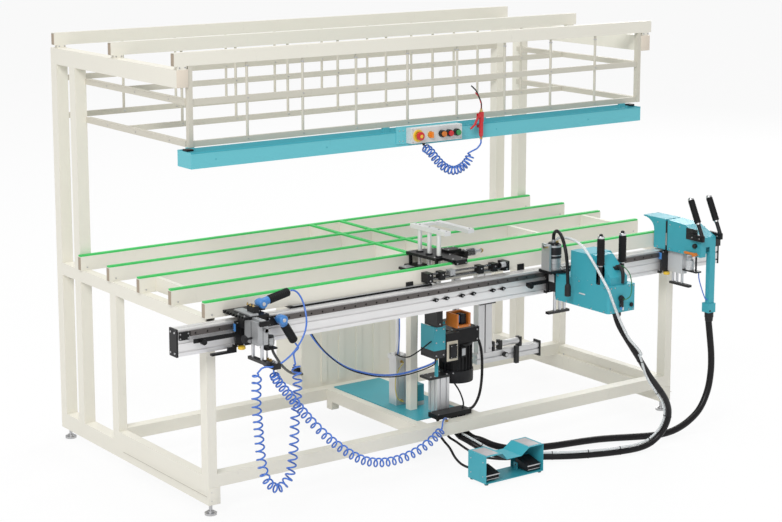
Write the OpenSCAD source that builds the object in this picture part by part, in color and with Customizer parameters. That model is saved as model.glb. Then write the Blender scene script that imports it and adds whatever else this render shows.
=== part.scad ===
// Sash assembly clamp: a bench with an overhead rack and, along its front,
// an aluminium beam that carries three sliding pneumatic heads.
// Millimetres. X runs along the bench, Y from the operator to the back, Z up.
// Working coordinates start on the floor, midway between the feet;
// centred() moves each piece so that the origin lies under the middle of the machine.

/* [Main frame] */
// Overall width of the frame
frame_w = 2840; // [2400:10:3400]
// Side of the square post tube
post_s = 60; // [50:5:80]
// Height of the foot beams
foot_beam_h = 80; // [60:5:100]
// Floor to the underside of the foot beams
foot_h = 55; // [35:5:80]
// Front end of the foot beams
frame_front = -752; // [-900:1:-700]
// Rear end of the foot beams
frame_rear = 723; // [680:1:800]
// Clear distance between the front and rear post of a pair
post_gap = 138; // [100:1:200]
// Height of the posts above the foot beams
post_h = 1777; // [1500:10:2000]
// Wall of the frame tubes
wall = 3; // [2:0.5:5]
// Diameter of a levelling foot's pad
foot_pad_d = 56; // [40:1:70]

/* [Bench] */
// Width of a bench leg along X
leg_w = 45; // [40:1:60]
// Depth of a bench leg along Y
leg_d = 60; // [40:1:80]
// Rear face of the bench's rear leg
rear_leg_y = 158; // [100:1:250]
// Height of the lower rails
low_rail_h = 60; // [40:1:80]
// Height of the side beams under the table
side_beam_h = 60; // [40:1:80]
// Underside of the table rails
table_z = 917; // [850:1:1000]
// Thickness of a table rail along Y
rail_t = 30; // [20:1:50]
// Height of a table rail
rail_h = 70; // [40:1:80]
// Pitch of the table rails
rail_pitch = 300; // [220:1:320]
// Number of table rails
rail_count = 5; // [5:1:5]
// Overhang of a table rail past the frame's side
rail_over = 10; // [0:1:20]
// Height of the green slide strips
strip_h = 8; // [6:1:25]
// Width of the green slide strips
strip_w = 22; // [12:1:28]
// Distance between the two cross strips
cross_pitch = 190; // [150:1:260]

/* [Overhead rack] */
// Height of the cantilever beams
top_beam_h = 80; // [60:1:100]
// Front end of the cantilever beams
top_front = -532; // [-650:1:-450]
// Gap between the cantilever beams and the rails on them
top_spacer_h = 15; // [8:1:25]
// Height of the three overhead rails
top_rail_h = 60; // [40:1:80]
// Gap between the last overhead rail and the beams' rear end
top_rear_gap = 35; // [10:1:120]
// Pitch of the rack rods
rod_pitch = 300; // [200:1:320]
// Diameter of a rack rod
rod_d = 15; // [10:1:20]
// Side of a rack bar
bar_s = 27; // [20:1:35]
// Drop of the upper rack bars below the overhead rails
bar_hi_drop = 164; // [120:1:200]
// Drop of the lower rack bars below the overhead rails
bar_lo_drop = 351; // [300:1:400]
// Depth of the tray under the rack
trough_d = 120; // [90:1:150]
// Height of the tray under the rack
trough_h = 72; // [50:1:90]
// Width of the control box
control_w = 300; // [260:1:380]
// Height of the control box
control_h = 72; // [60:1:90]

/* [Beam] */
// Length of the beam
beam_l = 3270; // [2900:10:3800]
// Distance of the beam's middle from the frame's middle
beam_off = 30; // [0:1:60]
// Depth of the beam profile
beam_d = 60; // [50:1:80]
// Height of the beam profile
beam_h = 120; // [120:1:160]
// Underside of the beam
beam_z = 788; // [760:1:800]
// Front face of the beam
beam_front = -830; // [-840:1:-825]
// Height of the guide rail on the beam
guide_h = 22; // [15:1:30]
// Thickness of the guide rail
guide_t = 14; // [10:1:20]
// Thickness of a carriage plate
carriage_t = 12; // [8:1:16]
// Running gap between a carriage and the beam
run_gap = 1; // [0.5:0.1:2]

/* [Heads] */
// Middle of the left carriage
left_x = -1250; // [-1300:1:-1100]
// Middle of the right carriage
right_x = 545; // [450:1:600]
// Middle of the far right carriage
far_x = 1281; // [1260:1:1300]
// Diameter of a clamp's guide rod
guide_rod_d = 15; // [10:1:18]
// Width of the right head's housing
head_w = 167; // [140:1:200]
// Depth of the right head's housing
head_d = 440; // [350:1:480]
// Height of the right head's housing
head_h = 132; // [100:1:150]
// Wall of the sheet housings
sheet = 2; // [1.5:0.5:3]
// Diameter of a grip
grip_d = 38; // [28:1:45]
// Width of the far right head
far_w = 104; // [90:1:120]
// Width of the hose duct
duct_w = 35; // [30:1:45]

/* [Router] */
// Outer diameter of the motor
motor_d = 176; // [140:1:182]
// Diameter of the router cutter
cutter_d = 24; // [12:1:30]
// Length of the router cutter
cutter_l = 60; // [40:1:70]
// Height of the spindle above the motor
spindle_l = 215; // [180:1:230]

/* [Foot switch] */
// Width of the foot switch
pedal_w = 352; // [300:1:400]
// Depth of the foot switch
pedal_d = 136; // [110:1:170]
// Height of the foot switch
pedal_h = 140; // [110:1:160]

/* [Hoses] */
// Diameter of the curly hose tube
curl_tube_d = 8; // [6:0.5:9]
// Diameter of the curls over the tube
curl_d = 46; // [38:1:52]
// Curls on the left head's hose
left_curls = 34; // [20:1:34]
// Curls on the supply hose
supply_curls = 36; // [20:1:36]
// Curls on the blow gun's hose
gun_curls = 18; // [12:1:18]
// Diameter of the right head's hose
head_hose_d = 29; // [20:1:32]
// Diameter of the far right head's hose
far_hose_d = 34; // [26:1:38]

/* [Hidden] */
$fn = 32;
cream = [0.90, 0.89, 0.84];
teal = [0.20, 0.62, 0.70];
green = [0.25, 0.80, 0.38];
alu = [0.80, 0.81, 0.82];
steel = [0.62, 0.62, 0.63];
black = [0.10, 0.10, 0.11];
blue = [0.15, 0.40, 0.85];
white = [0.93, 0.93, 0.92];

frame_x = frame_w / 2;
rail_l = frame_w + 2 * rail_over;
foot_top = foot_h + foot_beam_h;
post_top = foot_top + post_h;
post_front = frame_rear - 2 * post_s - post_gap;
leg_in = frame_x - leg_w;
leg_front = frame_front + leg_d;
rear_leg_front = rear_leg_y - leg_d;
side_beam_z = table_z - side_beam_h;
table_top = table_z + rail_h;
work_z = table_top + strip_h;
stop_top = table_top - 10;
rail_rear = post_front;
last_rail = rail_rear - (rail_count - 1) * rail_pitch - rail_t;
top_z = post_top + top_beam_h;
top_rail_z = top_z + top_spacer_h;
top_rail_top = top_rail_z + top_rail_h;
top_pitch = (frame_rear - top_front - rail_t - top_rear_gap) / 2;
bar_hi_z = top_rail_z - bar_hi_drop;
bar_lo_z = top_rail_z - bar_lo_drop;
rack_y = top_front + rail_t / 2;
rack_x = frame_x - 68;
trough_rear = top_front + 11;
trough_front = trough_rear - trough_d;
trough_z = bar_lo_z - bar_s / 2 - trough_h - 6;
trough_x0 = 4 - frame_x;
trough_x1 = frame_x - 158;
control_x = -101;
control_y = trough_front - 4;
control_d = 44;
control_z = trough_z + 16;
beam_x0 = beam_off - beam_l / 2;
beam_x1 = beam_off + beam_l / 2;
beam_rear = beam_front + beam_d;
beam_top = beam_z + beam_h;
guide_z = beam_z + 88;
plate_y = beam_front - guide_t - run_gap;
plate_front = plate_y - carriage_t;
front_most = plate_front - 3 - head_d;
place = [-beam_off, -(front_most + frame_rear) / 2, 0];
motor_x = 150;
motor_y = -520;
motor_z = 330;
tray_z = 195;
pedal_x = 28;
pedal_y = -1142;
clamp_x = -66;
column_y = [-508, -585, -661];
upper_at = [left_x + 42, plate_front - 10, beam_top + 72];
upper_tilt = 78;
upper_axis = [sin(upper_tilt), 0, cos(upper_tilt)];
upper_tip = upper_at + 158 * upper_axis;
lower_at = [left_x + 128, plate_front - 40, beam_top - 8];
lower_tilt = 148;
lower_axis = [sin(lower_tilt), 0, cos(lower_tilt)];
lower_tip = lower_at + 138 * lower_axis;
deck_z = work_z;

// Moves working coordinates to the part's own frame.
module centred() translate(place) children();

// A block from corner to corner.
module block(x0, x1, y0, y1, z0, z1)
    translate([x0, y0, z0]) cube([x1 - x0, y1 - y0, z1 - z0]);

// Rectangular tube, open along one axis.
module tube(x0, x1, y0, y1, z0, z1, along, w = wall) {
    gx = along == "x" ? -1 : w;
    gy = along == "y" ? -1 : w;
    gz = along == "z" ? -1 : w;
    difference() {
        block(x0, x1, y0, y1, z0, z1);
        block(x0 + gx, x1 - gx, y0 + gy, y1 - gy, z0 + gz, z1 - gz);
    }
}

// Round bar between two heights.
module rod_z(x, y, z0, z1, d) translate([x, y, z0]) cylinder(h = z1 - z0, d = d);
// Round bar along X.
module rod_x(x0, x1, y, z, d) translate([x0, y, z]) rotate([0, 90, 0]) cylinder(h = x1 - x0, d = d);
// Round bar along Y.
module rod_y(x, y0, y1, z, d) translate([x, y1, z]) rotate([90, 0, 0]) cylinder(h = y1 - y0, d = d);
// Both sides of the machine.
module both_sides() { children(); mirror([1, 0, 0]) children(); }

// Outline in the YZ plane, pushed along X.
module side_profile_plate(x0, x1, points)
    translate([x0, 0, 0]) rotate([90, 0, 90]) linear_extrude(x1 - x0) polygon(points);

module main_frame() color(cream) centred() both_sides() {
    tube(-frame_x, -frame_x + post_s, frame_front, frame_rear, foot_h, foot_top, "y");
    tube(-frame_x, -frame_x + post_s, frame_rear - post_s, frame_rear, foot_top, post_top, "z");
    tube(-frame_x, -frame_x + post_s, post_front, post_front + post_s, foot_top, post_top, "z");
    tube(-frame_x, -frame_x + post_s, post_front + post_s, frame_rear - post_s,
        side_beam_z, table_z, "y");
}

module levelling_feet() color(steel) centred() {
    foot_x = frame_x - post_s / 2;
    for (x = [-foot_x, foot_x], y = [frame_front + 37, frame_rear - 37]) levelling_foot(x, y, foot_h);
}

// Pad, stem and jam nut of one levelling foot.
module levelling_foot(x, y, top) {
    translate([x, y, 0]) {
        cylinder(h = 10, d = foot_pad_d);
        cylinder(h = 18, d = foot_pad_d * 0.55);
        cylinder(h = top, d = 16);
        translate([0, 0, top - 10]) cylinder(h = 10, d = 26, $fn = 6);
    }
}

module bench_frame() color(cream) centred() {
    both_sides() {
        tube(-frame_x, -leg_in, frame_front, leg_front, foot_top, side_beam_z, "z");
        tube(-frame_x, -leg_in, rear_leg_front, rear_leg_y, foot_top, side_beam_z, "z");
        tube(-frame_x, -leg_in, leg_front, rear_leg_front, foot_top, foot_top + 50, "y");
        tube(-frame_x, -leg_in, frame_front, post_front, side_beam_z, table_z, "y");
    }
    low_top = foot_top + low_rail_h;
    tube(-leg_in, leg_in, frame_front, leg_front, foot_top, low_top, "x");
    tube(-leg_in, leg_in, rear_leg_front, rear_leg_y, foot_top, low_top, "x");
    tube(-215, -155, leg_front, rear_leg_front, foot_top, low_top, "y");
    tube(110, 170, leg_front, rear_leg_front, foot_top, low_top, "y");
    tube(-215, -170, rear_leg_front - 45, rear_leg_front, foot_top - 42, foot_top, "z");
    tube(-100, -60, -480, -440, tray_z + 5, table_z, "z");
}

module table_rails() color(cream) centred() {
    for (i = [0 : rail_count - 1]) {
        rear = rail_rear - i * rail_pitch;
        tube(-rail_l / 2, rail_l / 2, rear - rail_t, rear, table_z, table_top, "x");
    }
    for (x = [-leg_in + 40, 780, leg_in - 80]) cross_plate(x, 2);
    for (x = [-80, -80 + cross_pitch], i = [0 : 2]) cross_plate(x, i);
}

// Upright plate between rail i and the next one.
module cross_plate(x, i) {
    rear = rail_rear - i * rail_pitch - rail_t;
    block(x - strip_w / 2, x + strip_w / 2, rear - rail_pitch + rail_t, rear, table_z + 4, table_top);
}

module slide_strips() color(green) centred() {
    for (i = [0 : rail_count - 1]) {
        y = rail_rear - i * rail_pitch - rail_t / 2;
        if (i < rail_count - 1)
            block(-rail_l / 2, rail_l / 2, y - strip_w / 2, y + strip_w / 2, table_top, work_z);
        else {
            block(-rail_l / 2, -60, y - strip_w / 2, y + strip_w / 2, table_top, work_z);
            block(20, rail_l / 2, y - strip_w / 2, y + strip_w / 2, table_top, work_z);
        }
    }
    for (x = [-80, -80 + cross_pitch], i = [0 : 2]) {
        rear = rail_rear - i * rail_pitch - rail_t / 2 - strip_w / 2;
        block(x - strip_w / 2, x + strip_w / 2, rear - rail_pitch + strip_w, rear, table_top, work_z);
    }
}

module overhead_frame() color(cream) centred() {
    both_sides() tube(-frame_x, -frame_x + post_s, top_front, frame_rear, post_top, top_z, "y");
    for (i = [0 : 2]) {
        front = top_front + i * top_pitch;
        tube(-rail_l / 2, rail_l / 2, front, front + rail_t, top_rail_z, top_rail_top, "x");
        both_sides() block(-frame_x + 8, -frame_x + post_s - 8, front, front + rail_t, top_z, top_rail_z);
    }
}

module rack() color(cream) centred() {
    half = bar_s / 2;
    for (y = [rack_y, rack_y + top_pitch], z = [bar_lo_z, bar_hi_z])
        block(-rack_x + half, rack_x - half, y - rod_d / 2, y + rod_d / 2, z - half, z + half);
    for (z = [bar_lo_z, bar_hi_z]) {
        y = rack_y + 2 * top_pitch;
        block(post_s - frame_x, frame_x - post_s, y - rod_d / 2, y + rod_d / 2, z - half, z + half);
    }
    for (i = [0 : 2], n = [-3.5 : 1 : 3.5]) hang_rod(n * rod_pitch, rack_y + i * top_pitch);
    both_sides() {
        for (z = [bar_lo_z, bar_hi_z])
            block(-rack_x - half, -rack_x + half, rack_y + half, post_front, z - half, z + half);
        block(post_s - frame_x, -rack_x + half, rack_y - half, rack_y + half,
            bar_lo_z - half, top_rail_z);
    }
}

// Rack rod in three lengths, between the rail and the two bars.
module hang_rod(x, y) {
    half = bar_s / 2;
    rod_z(x, y, bar_hi_z + half, top_rail_z, rod_d - 2);
    rod_z(x, y, bar_lo_z + half, bar_hi_z - half, rod_d - 2);
}

module tray() color(teal) centred() {
    difference() {
        block(trough_x0, trough_x1, trough_front, trough_rear, trough_z, trough_z + trough_h);
        block(trough_x0 + sheet, trough_x1 - sheet, trough_front + sheet, trough_rear - sheet,
            trough_z + sheet, trough_z + trough_h + 1);
    }
    for (x = [-rack_x - 18, -300, 290, trough_x1 - 40])
        block(x, x + 36, rack_y - 12, rack_y + 6, trough_z + sheet, bar_lo_z - bar_s / 2);
    block(control_x - 208, control_x + control_w / 2 + 4, trough_front - 4, trough_front,
        control_z - 4, control_z + control_h + 8);
}

module control_box() color(white) centred() {
    difference() {
        block(control_x - control_w / 2, control_x + control_w / 2, control_y - control_d, control_y,
            control_z, control_z + control_h);
        block(control_x - control_w / 2 + sheet, control_x + control_w / 2 - sheet,
            control_y - control_d + sheet, control_y - sheet, control_z + sheet,
            control_z + control_h - sheet);
        for (b = buttons) button_at(b[0]) translate([0, 0, -5]) cylinder(h = 15, d = b[1] + 0.1);
    }
    for (b = buttons) button_at(b[0]) difference() {
        cylinder(h = b[3], d = b[2]);
        translate([0, 0, -1]) cylinder(h = b[3] + 2, d = b[1] + 0.1);
    }
    rod_z(control_x - 63, control_y - 22, control_z - 4, control_z, 20);
}

// Offset along the box, stem diameter, and collar diameter and height of each button.
buttons = [[-113, 22, 58, 4], [-41, 22, 32, 4], [25, 22, 34, 18], [66, 22, 34, 18],
    [112, 22, 34, 18]];

// Local frame on the box's face, with Z pointing to the operator.
module button_at(offset)
    translate([control_x + offset, control_y - control_d, control_z + control_h / 2])
        rotate([90, 0, 0]) children();

// A cap on a stem, with the cap standing off the face.
module push_button(i, cap_d, stand, cap_h) button_at(buttons[i][0]) {
    translate([0, 0, -18]) cylinder(h = 18 + stand + 1, d = buttons[i][1]);
    translate([0, 0, stand]) cylinder(h = cap_h, d = cap_d);
    if (cap_d > 30) translate([0, 0, stand + cap_h]) cylinder(h = 3, d = cap_d - 12);
}

module emergency_stop() color("red") centred() push_button(0, 40, 14, 13);
module selector_knob() color("gold") centred() button_at(buttons[1][0]) {
    translate([0, 0, -18]) cylinder(h = 24, d = buttons[1][1]);
    translate([0, 0, 5]) cylinder(h = 6, d = 30);
    translate([-5, -14, 11]) cube([10, 28, 12]);
}
module amber_button() color("orange") centred() push_button(2, 26, 24, 5);
module red_button() color("red") centred() push_button(3, 26, 24, 5);
module green_button() color("green") centred() push_button(4, 26, 24, 5);

gun_x = 184;
gun_y = trough_front - 26;
gun_z = trough_z + 14.5;

module blow_gun() color("red") centred() {
    difference() {
        union() {
            rod_z(gun_x, gun_y, gun_z, gun_z + 100, 20);
            block(gun_x - 7, gun_x + 9, gun_y - 9, gun_y + 9, gun_z + 70, gun_z + 118);
            rod_z(gun_x, gun_y, gun_z - 16, gun_z, 12);
        }
        block(gun_x - 21, gun_x - 6, gun_y - 11, gun_y + 11, gun_z + 92, gun_z + 108);
    }
    for (s = [-1, 1]) translate([0, s * 7.3, 0]) difference() {
        block(gun_x - 22, gun_x - 2, gun_y - 1.4, gun_y + 1.4, gun_z + 91, gun_z + 111);
        rod_y(gun_x - 14, gun_y - 3, gun_y + 3, gun_z + 100, 5.1);
    }
    rod_z(gun_x, gun_y, gun_z + 117, gun_z + 158, 6);
    translate([gun_x, gun_y, gun_z + 156]) rotate([0, -22, 0]) {
        cylinder(h = 42, d = 5.6);
        translate([0, 0, 40]) rotate([0, -24, 0]) cylinder(h = 30, d = 5.2);
    }
    block(gun_x - 6, gun_x + 6, gun_y + 8, trough_front, gun_z + 40, gun_z + 52);
}

module gun_trigger() color("red") centred() translate([gun_x - 14, gun_y, gun_z + 100]) {
    rod_y(0, -8.6, 8.6, 0, 5);
    rod_y(0, -4.5, 4.5, 0, 11);
    rotate([0, 30, 0]) translate([-4, -5, -50]) cube([7, 10, 48]);
    rotate([0, 30, 0]) translate([-1, 0, -50]) rotate([0, 24, 0]) translate([-3, -4.2, -30]) cube([6, 8.4, 36]);
}

module beam() color(alu) centred() difference() {
    block(beam_x0, beam_x1, beam_front, beam_rear, beam_z, beam_top);
    for (z = [beam_z + 20, beam_z + 60]) {
        block(beam_x0 - 1, beam_x1 + 1, beam_front - 1, beam_front + 6, z - 4, z + 4);
        block(beam_x0 - 1, beam_x1 + 1, beam_rear - 6, beam_rear + 1, z - 4, z + 4);
    }
    for (y = [beam_front + 30])
        block(beam_x0 - 1, beam_x1 + 1, y - 4, y + 4, beam_top - 6, beam_top + 1);
    block(beam_x0 - 1, beam_x1 + 1, beam_front + 12, beam_rear - 12, beam_z + 34, beam_z + 50);
    block(beam_x0 - 1, beam_x1 + 1, beam_front + 12, beam_rear - 12, beam_z + 70, beam_z + 104);
}

module fittings() color(black) centred() {
    block(beam_x0 - 8, beam_x0, beam_front - 2, beam_rear + 2, beam_z - 2, beam_top + 2);
    block(beam_x1, beam_x1 + 8, beam_front - 2, beam_rear + 2, beam_z - 2, beam_top + 2);
    for (x = [-frame_x + 6, 0 - 340, 340, frame_x - 46])
        block(x, x + 40, beam_rear, abs(x) > 900 ? frame_front : last_rail, beam_top - 48,
            abs(x) > 900 ? beam_top - 8 : beam_top + 30);
    block(beam_x0 + 4, beam_x0 + 50, beam_front - 12, beam_front, beam_top - 46, beam_top - 10);
    block(-92, 118, -691.7, -615, tray_z + 5, tray_z + 28);
    block(-1000, -200, beam_rear - 16, last_rail + rail_t, beam_top, table_z);
    for (x = [-214, -150, -57, 12, 132, 194]) {
        block(x - 16, x + 16, beam_front - 6, beam_front, beam_z + 56, beam_z + 64);
        block(x - 6, x + 6, beam_front - 10, beam_front, beam_z + 52, beam_z + 68);
    }
}

module guide_rail() color(steel) centred() difference() {
    block(beam_x0 + 56, beam_x1 - 40, beam_front - guide_t, beam_front, guide_z, guide_z + guide_h);
    for (x = [beam_x0 + 80 : 60 : beam_x1 - 50])
        rod_y(x, beam_front - guide_t - 1, beam_front - guide_t + 6, guide_z + guide_h / 2, 9);
}

module rear_cabinet() color(cream) centred() {
    difference() {
        block(-330, 240, rear_leg_y, 400, foot_top + low_rail_h, side_beam_z - 40);
        block(-327, 237, rear_leg_y + 3, 397, foot_top + low_rail_h + 3, side_beam_z - 43);
    }
    for (x = [-210 : 110 : 230])
        block(x, x + 34, rear_leg_y - 8, rear_leg_y, foot_top + low_rail_h + 20, side_beam_z - 60);
}

module base_tray() color(teal) centred() {
    block(-170, 120, -630, rear_leg_front, tray_z, tray_z + 5);
    block(-40, 20, -430, -376, tray_z + 5, tray_z + 110);
}

module router_column() color(alu) centred() {
    difference() {
        block(-24, 52, -597, -525, tray_z + 5, 376);
        for (x = [-5, 33]) block(x - 4, x + 4, -598, -590, tray_z + 4, 377);
        for (y = [-579, -543]) block(-25, -17, y - 4, y + 4, tray_z + 4, 377);
    }
    block(-74, 52, -600, -520, 376, 388);
}

module router_motor() {
    color(black) centred() {
        rod_z(motor_x, motor_y, motor_z, motor_z + 62, motor_d);
        rod_z(motor_x, motor_y, motor_z + 62, motor_z + 190, motor_d - 20);
        for (a = [0 : 15 : 345]) translate([motor_x, motor_y, motor_z + 62]) rotate([0, 0, a])
            translate([motor_d / 2 - 12, -2, 0]) cube([9, 4, 126]);
        rod_z(motor_x, motor_y, motor_z + 188, motor_z + 200, motor_d - 4);
        difference() {
            block(motor_x - 88, motor_x + 88, motor_y - 78, motor_y + 78, motor_z + 200, motor_z + 276);
            block(motor_x - 80, motor_x + 80, motor_y - 70, motor_y + 70, motor_z + 208, motor_z + 262);
            rod_z(motor_x, motor_y, motor_z + 190, motor_z + 290, 34.1);
        }
        block(4, motor_x - 64, motor_y - 112, motor_y - 70.3, motor_z + 130, motor_z + 276);
        block(22, 66, motor_y - 122, motor_y - 112, motor_z + 150, motor_z + 220);
        block(motor_x - 58, motor_x - 24, motor_y - 118, motor_y - 76, motor_z + 146, motor_z + 196);
    }
}

module router_bracket() {
    color(teal) centred() {
        block(-68, 1, -630, -590, 490, 650);
        block(-68, -62, -590, -520, 490, 650);
    }
    color("orange") centred() difference() {
        block(24, 110, -690, -604, 644, 712);
        block(36, 98, -691, -622, 656, 713);
    }
    color(black) centred() {
        block(-24, 100, -604, -560, 652, 664);
        block(-60, -24, -640, -540, 650, 760);
        block(-46, -36, -640, -540, 760, table_z);
        block(-34, -20, -600, -588, 388, 490);
    }
}

module router_spindle() color(steel) centred() {
    rod_z(motor_x, motor_y, motor_z + 200.3, motor_z + 276 + spindle_l, 34);
    rod_z(motor_x, motor_y, motor_z + 276 + spindle_l, motor_z + 306 + spindle_l, 46);
    rod_z(motor_x, motor_y, motor_z + 306 + spindle_l, motor_z + 306 + spindle_l + cutter_l, cutter_d);
}

module clamp_cylinder() color(alu) centred() {
    x = -110;
    y = -372;
    difference() {
        block(x, x + 62, y, y + 62, tray_z + 5, tray_z + 240);
        for (s = [12, 50]) block(x + s - 3, x + s + 3, y - 1, y + 5, tray_z + 4, tray_z + 241);
    }
    block(x - 5, x + 67, y - 5, y + 67, tray_z + 240, tray_z + 262);
    rod_z(x + 31, y + 31, tray_z + 262, table_z - 120, 20);
    block(x - 8, x + 70, y + 16, y + 46, table_z - 120, table_z - 100);
}

module side_profile() color(alu) centred() {
    difference() {
        block(320, 730, -480, -440, 366, 421);
        for (y = [-481, -447]) block(319, 731, y, y + 8, 389, 397);
    }
    for (x = [328, 376]) block(x, x + 40, -478, -438, 421, 680);
    block(322, 422, -500, -430, 680, 692);
    for (x = [328, 376]) block(x, x + 40, -470, -435, 692, table_z);
    block(730, 738, -486, -434, 350, 432);
    block(560, 580, -500, -480, 340, 430);
    block(470, 486, -478, -446, 421, 470);
    block(600, 616, -478, -446, 421, 470);
    rod_x(486, 600, -462, 450, 32);
    block(425, 437, -478, -446, 421, 470);
    rod_y(497, -500, -480, 396, 26);
    rod_x(410, 585, -462, 450, 12);
    rod_x(410, 425, -462, 450, 24);
}

module centre_deck() color(black) centred() {
    difference() {
        union() {
            translate([0, 0, deck_z]) linear_extrude(14)
                polygon([[-118, -463], [-30, -462], [112, -512], [112, -620], [24, -640], [24, -766],
                    [-62, -766], [-62, -690], [-104, -690]]);
            block(20, 104, -620, -560, deck_z + 14, deck_z + 26);
            block(-52, 16, -780, -766, deck_z - 10, deck_z + 14);
            for (y = [-688, -478]) block(-104, -90, y, y + 10, table_z + 30, deck_z);
        }
        for (y = column_y) rod_z(clamp_x, y, table_z + 20, deck_z + 15, 22.1);
    }
    difference() {
        union() {
            block(-130, -36, -735, -465, table_z, table_z + 30);
            rod_z(-96, -590, table_z + 30, table_z + 38, 84);
        }
        for (y = column_y) rod_z(clamp_x, y, table_z - 1, table_z + 39, 22.1);
    }
    block(112, 130, -640, -560, deck_z - 22, deck_z + 14);
    rod_x(130, 196, -604, deck_z - 2, 36);
    rod_x(196, 240, -604, deck_z - 2, 16);
    block(-190, -130, -560, -500, table_z + 18, table_z + 30);
}

module centre_clamp() color(alu) centred() {
    for (y = column_y) rod_z(clamp_x, y, table_z - 40, 1122, 22);
    block(clamp_x - 18, clamp_x + 18, -732, -450, 1122, 1142);
    block(clamp_x + 118, clamp_x + 154, -740, -470, 1122, 1142);
    block(clamp_x + 18, clamp_x + 118, -486, -450, 1126, 1138);
    block(clamp_x - 18, clamp_x + 18, -700, -486, table_z - 56, table_z - 40);
}

module stop_frame() color(black) centred() {
    back = last_rail;
    for (x = [-250, 216]) block(x, x + 34, back - 50, back, stop_top - 48, stop_top - 2);
    block(-216, 216, back - 10, back, stop_top - 46, stop_top - 36);
    for (z = [stop_top - 12, stop_top - 36]) rod_x(-216, 216, back - 30, z, 10);
    for (x = [-170, 64, 150]) difference() {
        block(x, x + 30, back - 46, back - 8, stop_top - 44, stop_top - 4);
        for (z = [stop_top - 12, stop_top - 36]) rod_x(x - 1, x + 31, back - 30, z, 10);
    }
    rod_x(176, 216, back - 66, stop_top - 10, 26);
    block(206, 216, back - 70, back - 48, stop_top - 30, stop_top - 4);
}

module stop_slider() color(black) centred() difference() {
    block(-110, -80, last_rail - 46, last_rail - 11, stop_top - 30, stop_top - 3);
    rod_x(-111, -79, last_rail - 30, stop_top - 12, 10.1);
}

// Carriage plate on the front of the guide rail, with its two bearing blocks.
module carriage(x, w) {
    block(x - w / 2, x + w / 2, plate_front, plate_y, beam_z + 8, beam_top + 4);
    for (s = [-1, 1]) difference() {
        translate([x + s * (w / 2 - 34), 0, 0])
            block(-28, 28, plate_y, beam_front - run_gap, guide_z - 10, guide_z + guide_h + 10);
        block(x - w, x + w, beam_front - guide_t - 0.3, beam_front, guide_z - 0.3,
            guide_z + guide_h + 0.3);
    }
    block(x - w / 2 - 4, x - w / 2, plate_front + 2, beam_front - run_gap, beam_z + 4, beam_z + 16);
}

// Stop arm with a clamp knob, beside a carriage.
module stop_arm(x0, x1, knob_x) {
    block(x0, x1, plate_front, plate_front + 8, beam_z + 56, beam_z + 74);
    rod_y(knob_x, plate_front - 22, plate_front, beam_z + 60, 26);
}

module left_carriage() color(black) centred() {
    carriage(left_x, 160);
    stop_arm(left_x - 290, left_x - 80, left_x - 250);
    difference() {
        block(left_x - 92, left_x + 36, plate_front - 90, beam_rear + 3, beam_top + 27, beam_top + 40);
        for (y = [plate_front - 80 : 24 : beam_rear])
            block(left_x - 93, left_x - 84, y, y + 10, beam_top + 26, beam_top + 41);
    }
    block(left_x - 70, left_x + 30, plate_front - 49.7, plate_front, beam_top - 20, beam_top + 27);
    block(left_x - 60, left_x + 70, plate_front - 16, plate_front, beam_top - 60, beam_top + 20);
    block(left_x - 34, left_x - 8, plate_front - 78, plate_front - 20, beam_top + 40, beam_top + 78);
    rod_y(left_x - 47, plate_front - 49.7, plate_front, beam_top - 62, 14);
    block(left_x - 200, left_x - 112, plate_front + 2, plate_front + 22, beam_z - 16, beam_z - 6);
    block(left_x - 120, left_x - 76, plate_front + 2, plate_front + 12, beam_z - 16, beam_z + 10);
}

module left_cylinder() color(alu) centred() {
    difference() {
        block(left_x - 66, left_x - 14, plate_front - 160, plate_front - 50, beam_z + 44, beam_top + 26);
        for (y = [plate_front - 77, plate_front - 150])
            rod_z(left_x - 40, y, beam_z + 43, beam_top + 20, guide_rod_d + 0.1);
        rod_x(left_x - 67, left_x - 58, plate_front - 110, beam_z + 70, 10.1);
    }
    block(left_x - 14, left_x + 20, plate_front - 110, plate_front - 50, beam_top - 60, beam_top - 10);
    rod_y(left_x - 30, plate_front - 176, plate_front - 160, beam_top - 10, 18);
}

module left_foot() color(steel) centred() {
    for (y = [plate_front - 77, plate_front - 150])
        rod_z(left_x - 40, y, beam_z - 24, beam_top - 14, guide_rod_d);
    block(left_x - 52, left_x - 28, plate_front - 205, plate_front - 50, beam_z - 38, beam_z - 24);
}

module left_knob() color(black) centred() {
    y = plate_front - 110;
    rod_x(left_x - 96, left_x - 59, y, beam_z + 70, 10);
    rod_x(left_x - 112, left_x - 95, y, beam_z + 70, 30);
    for (a = [0 : 72 : 288]) translate([left_x - 111, y, beam_z + 70]) rotate([a, 0, 0])
        translate([0, 12.5, 0]) rotate([0, 90, 0]) cylinder(h = 14, d = 11);
}

// Angle driver: blue head with a spindle, and a grip tilted out of it.
module driver(at, tilt, head_l, grip_l) translate(at) {
    rod_y(0, -30, 24, 0, 44);
    rod_y(0, 24, 40, 0, 18);
    rotate([0, tilt, 0]) {
        cylinder(h = head_l, d = 36);
        translate([0, 0, head_l]) cylinder(h = grip_l, d = 40);
        translate([0, 0, head_l + grip_l]) cylinder(h = 8, d = 16);
    }
}

module drivers() color(black) centred() {
    driver(upper_at, upper_tilt, 42, 108);
    block(left_x + 24, left_x + 60, plate_front - 20, plate_front + 8, beam_top + 40, beam_top + 56);
    block(left_x - 7.9, left_x + 24, plate_front - 16, plate_front + 6, beam_top + 44, beam_top + 56);
    driver(lower_at, lower_tilt, 34, 96);
    block(left_x + 76, left_x + 140, plate_front - 14, plate_front - 2, beam_top - 40, beam_top + 4);
    rod_x(left_x + 70, left_x + 80, plate_front - 9, beam_top - 20, 9);
}

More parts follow.
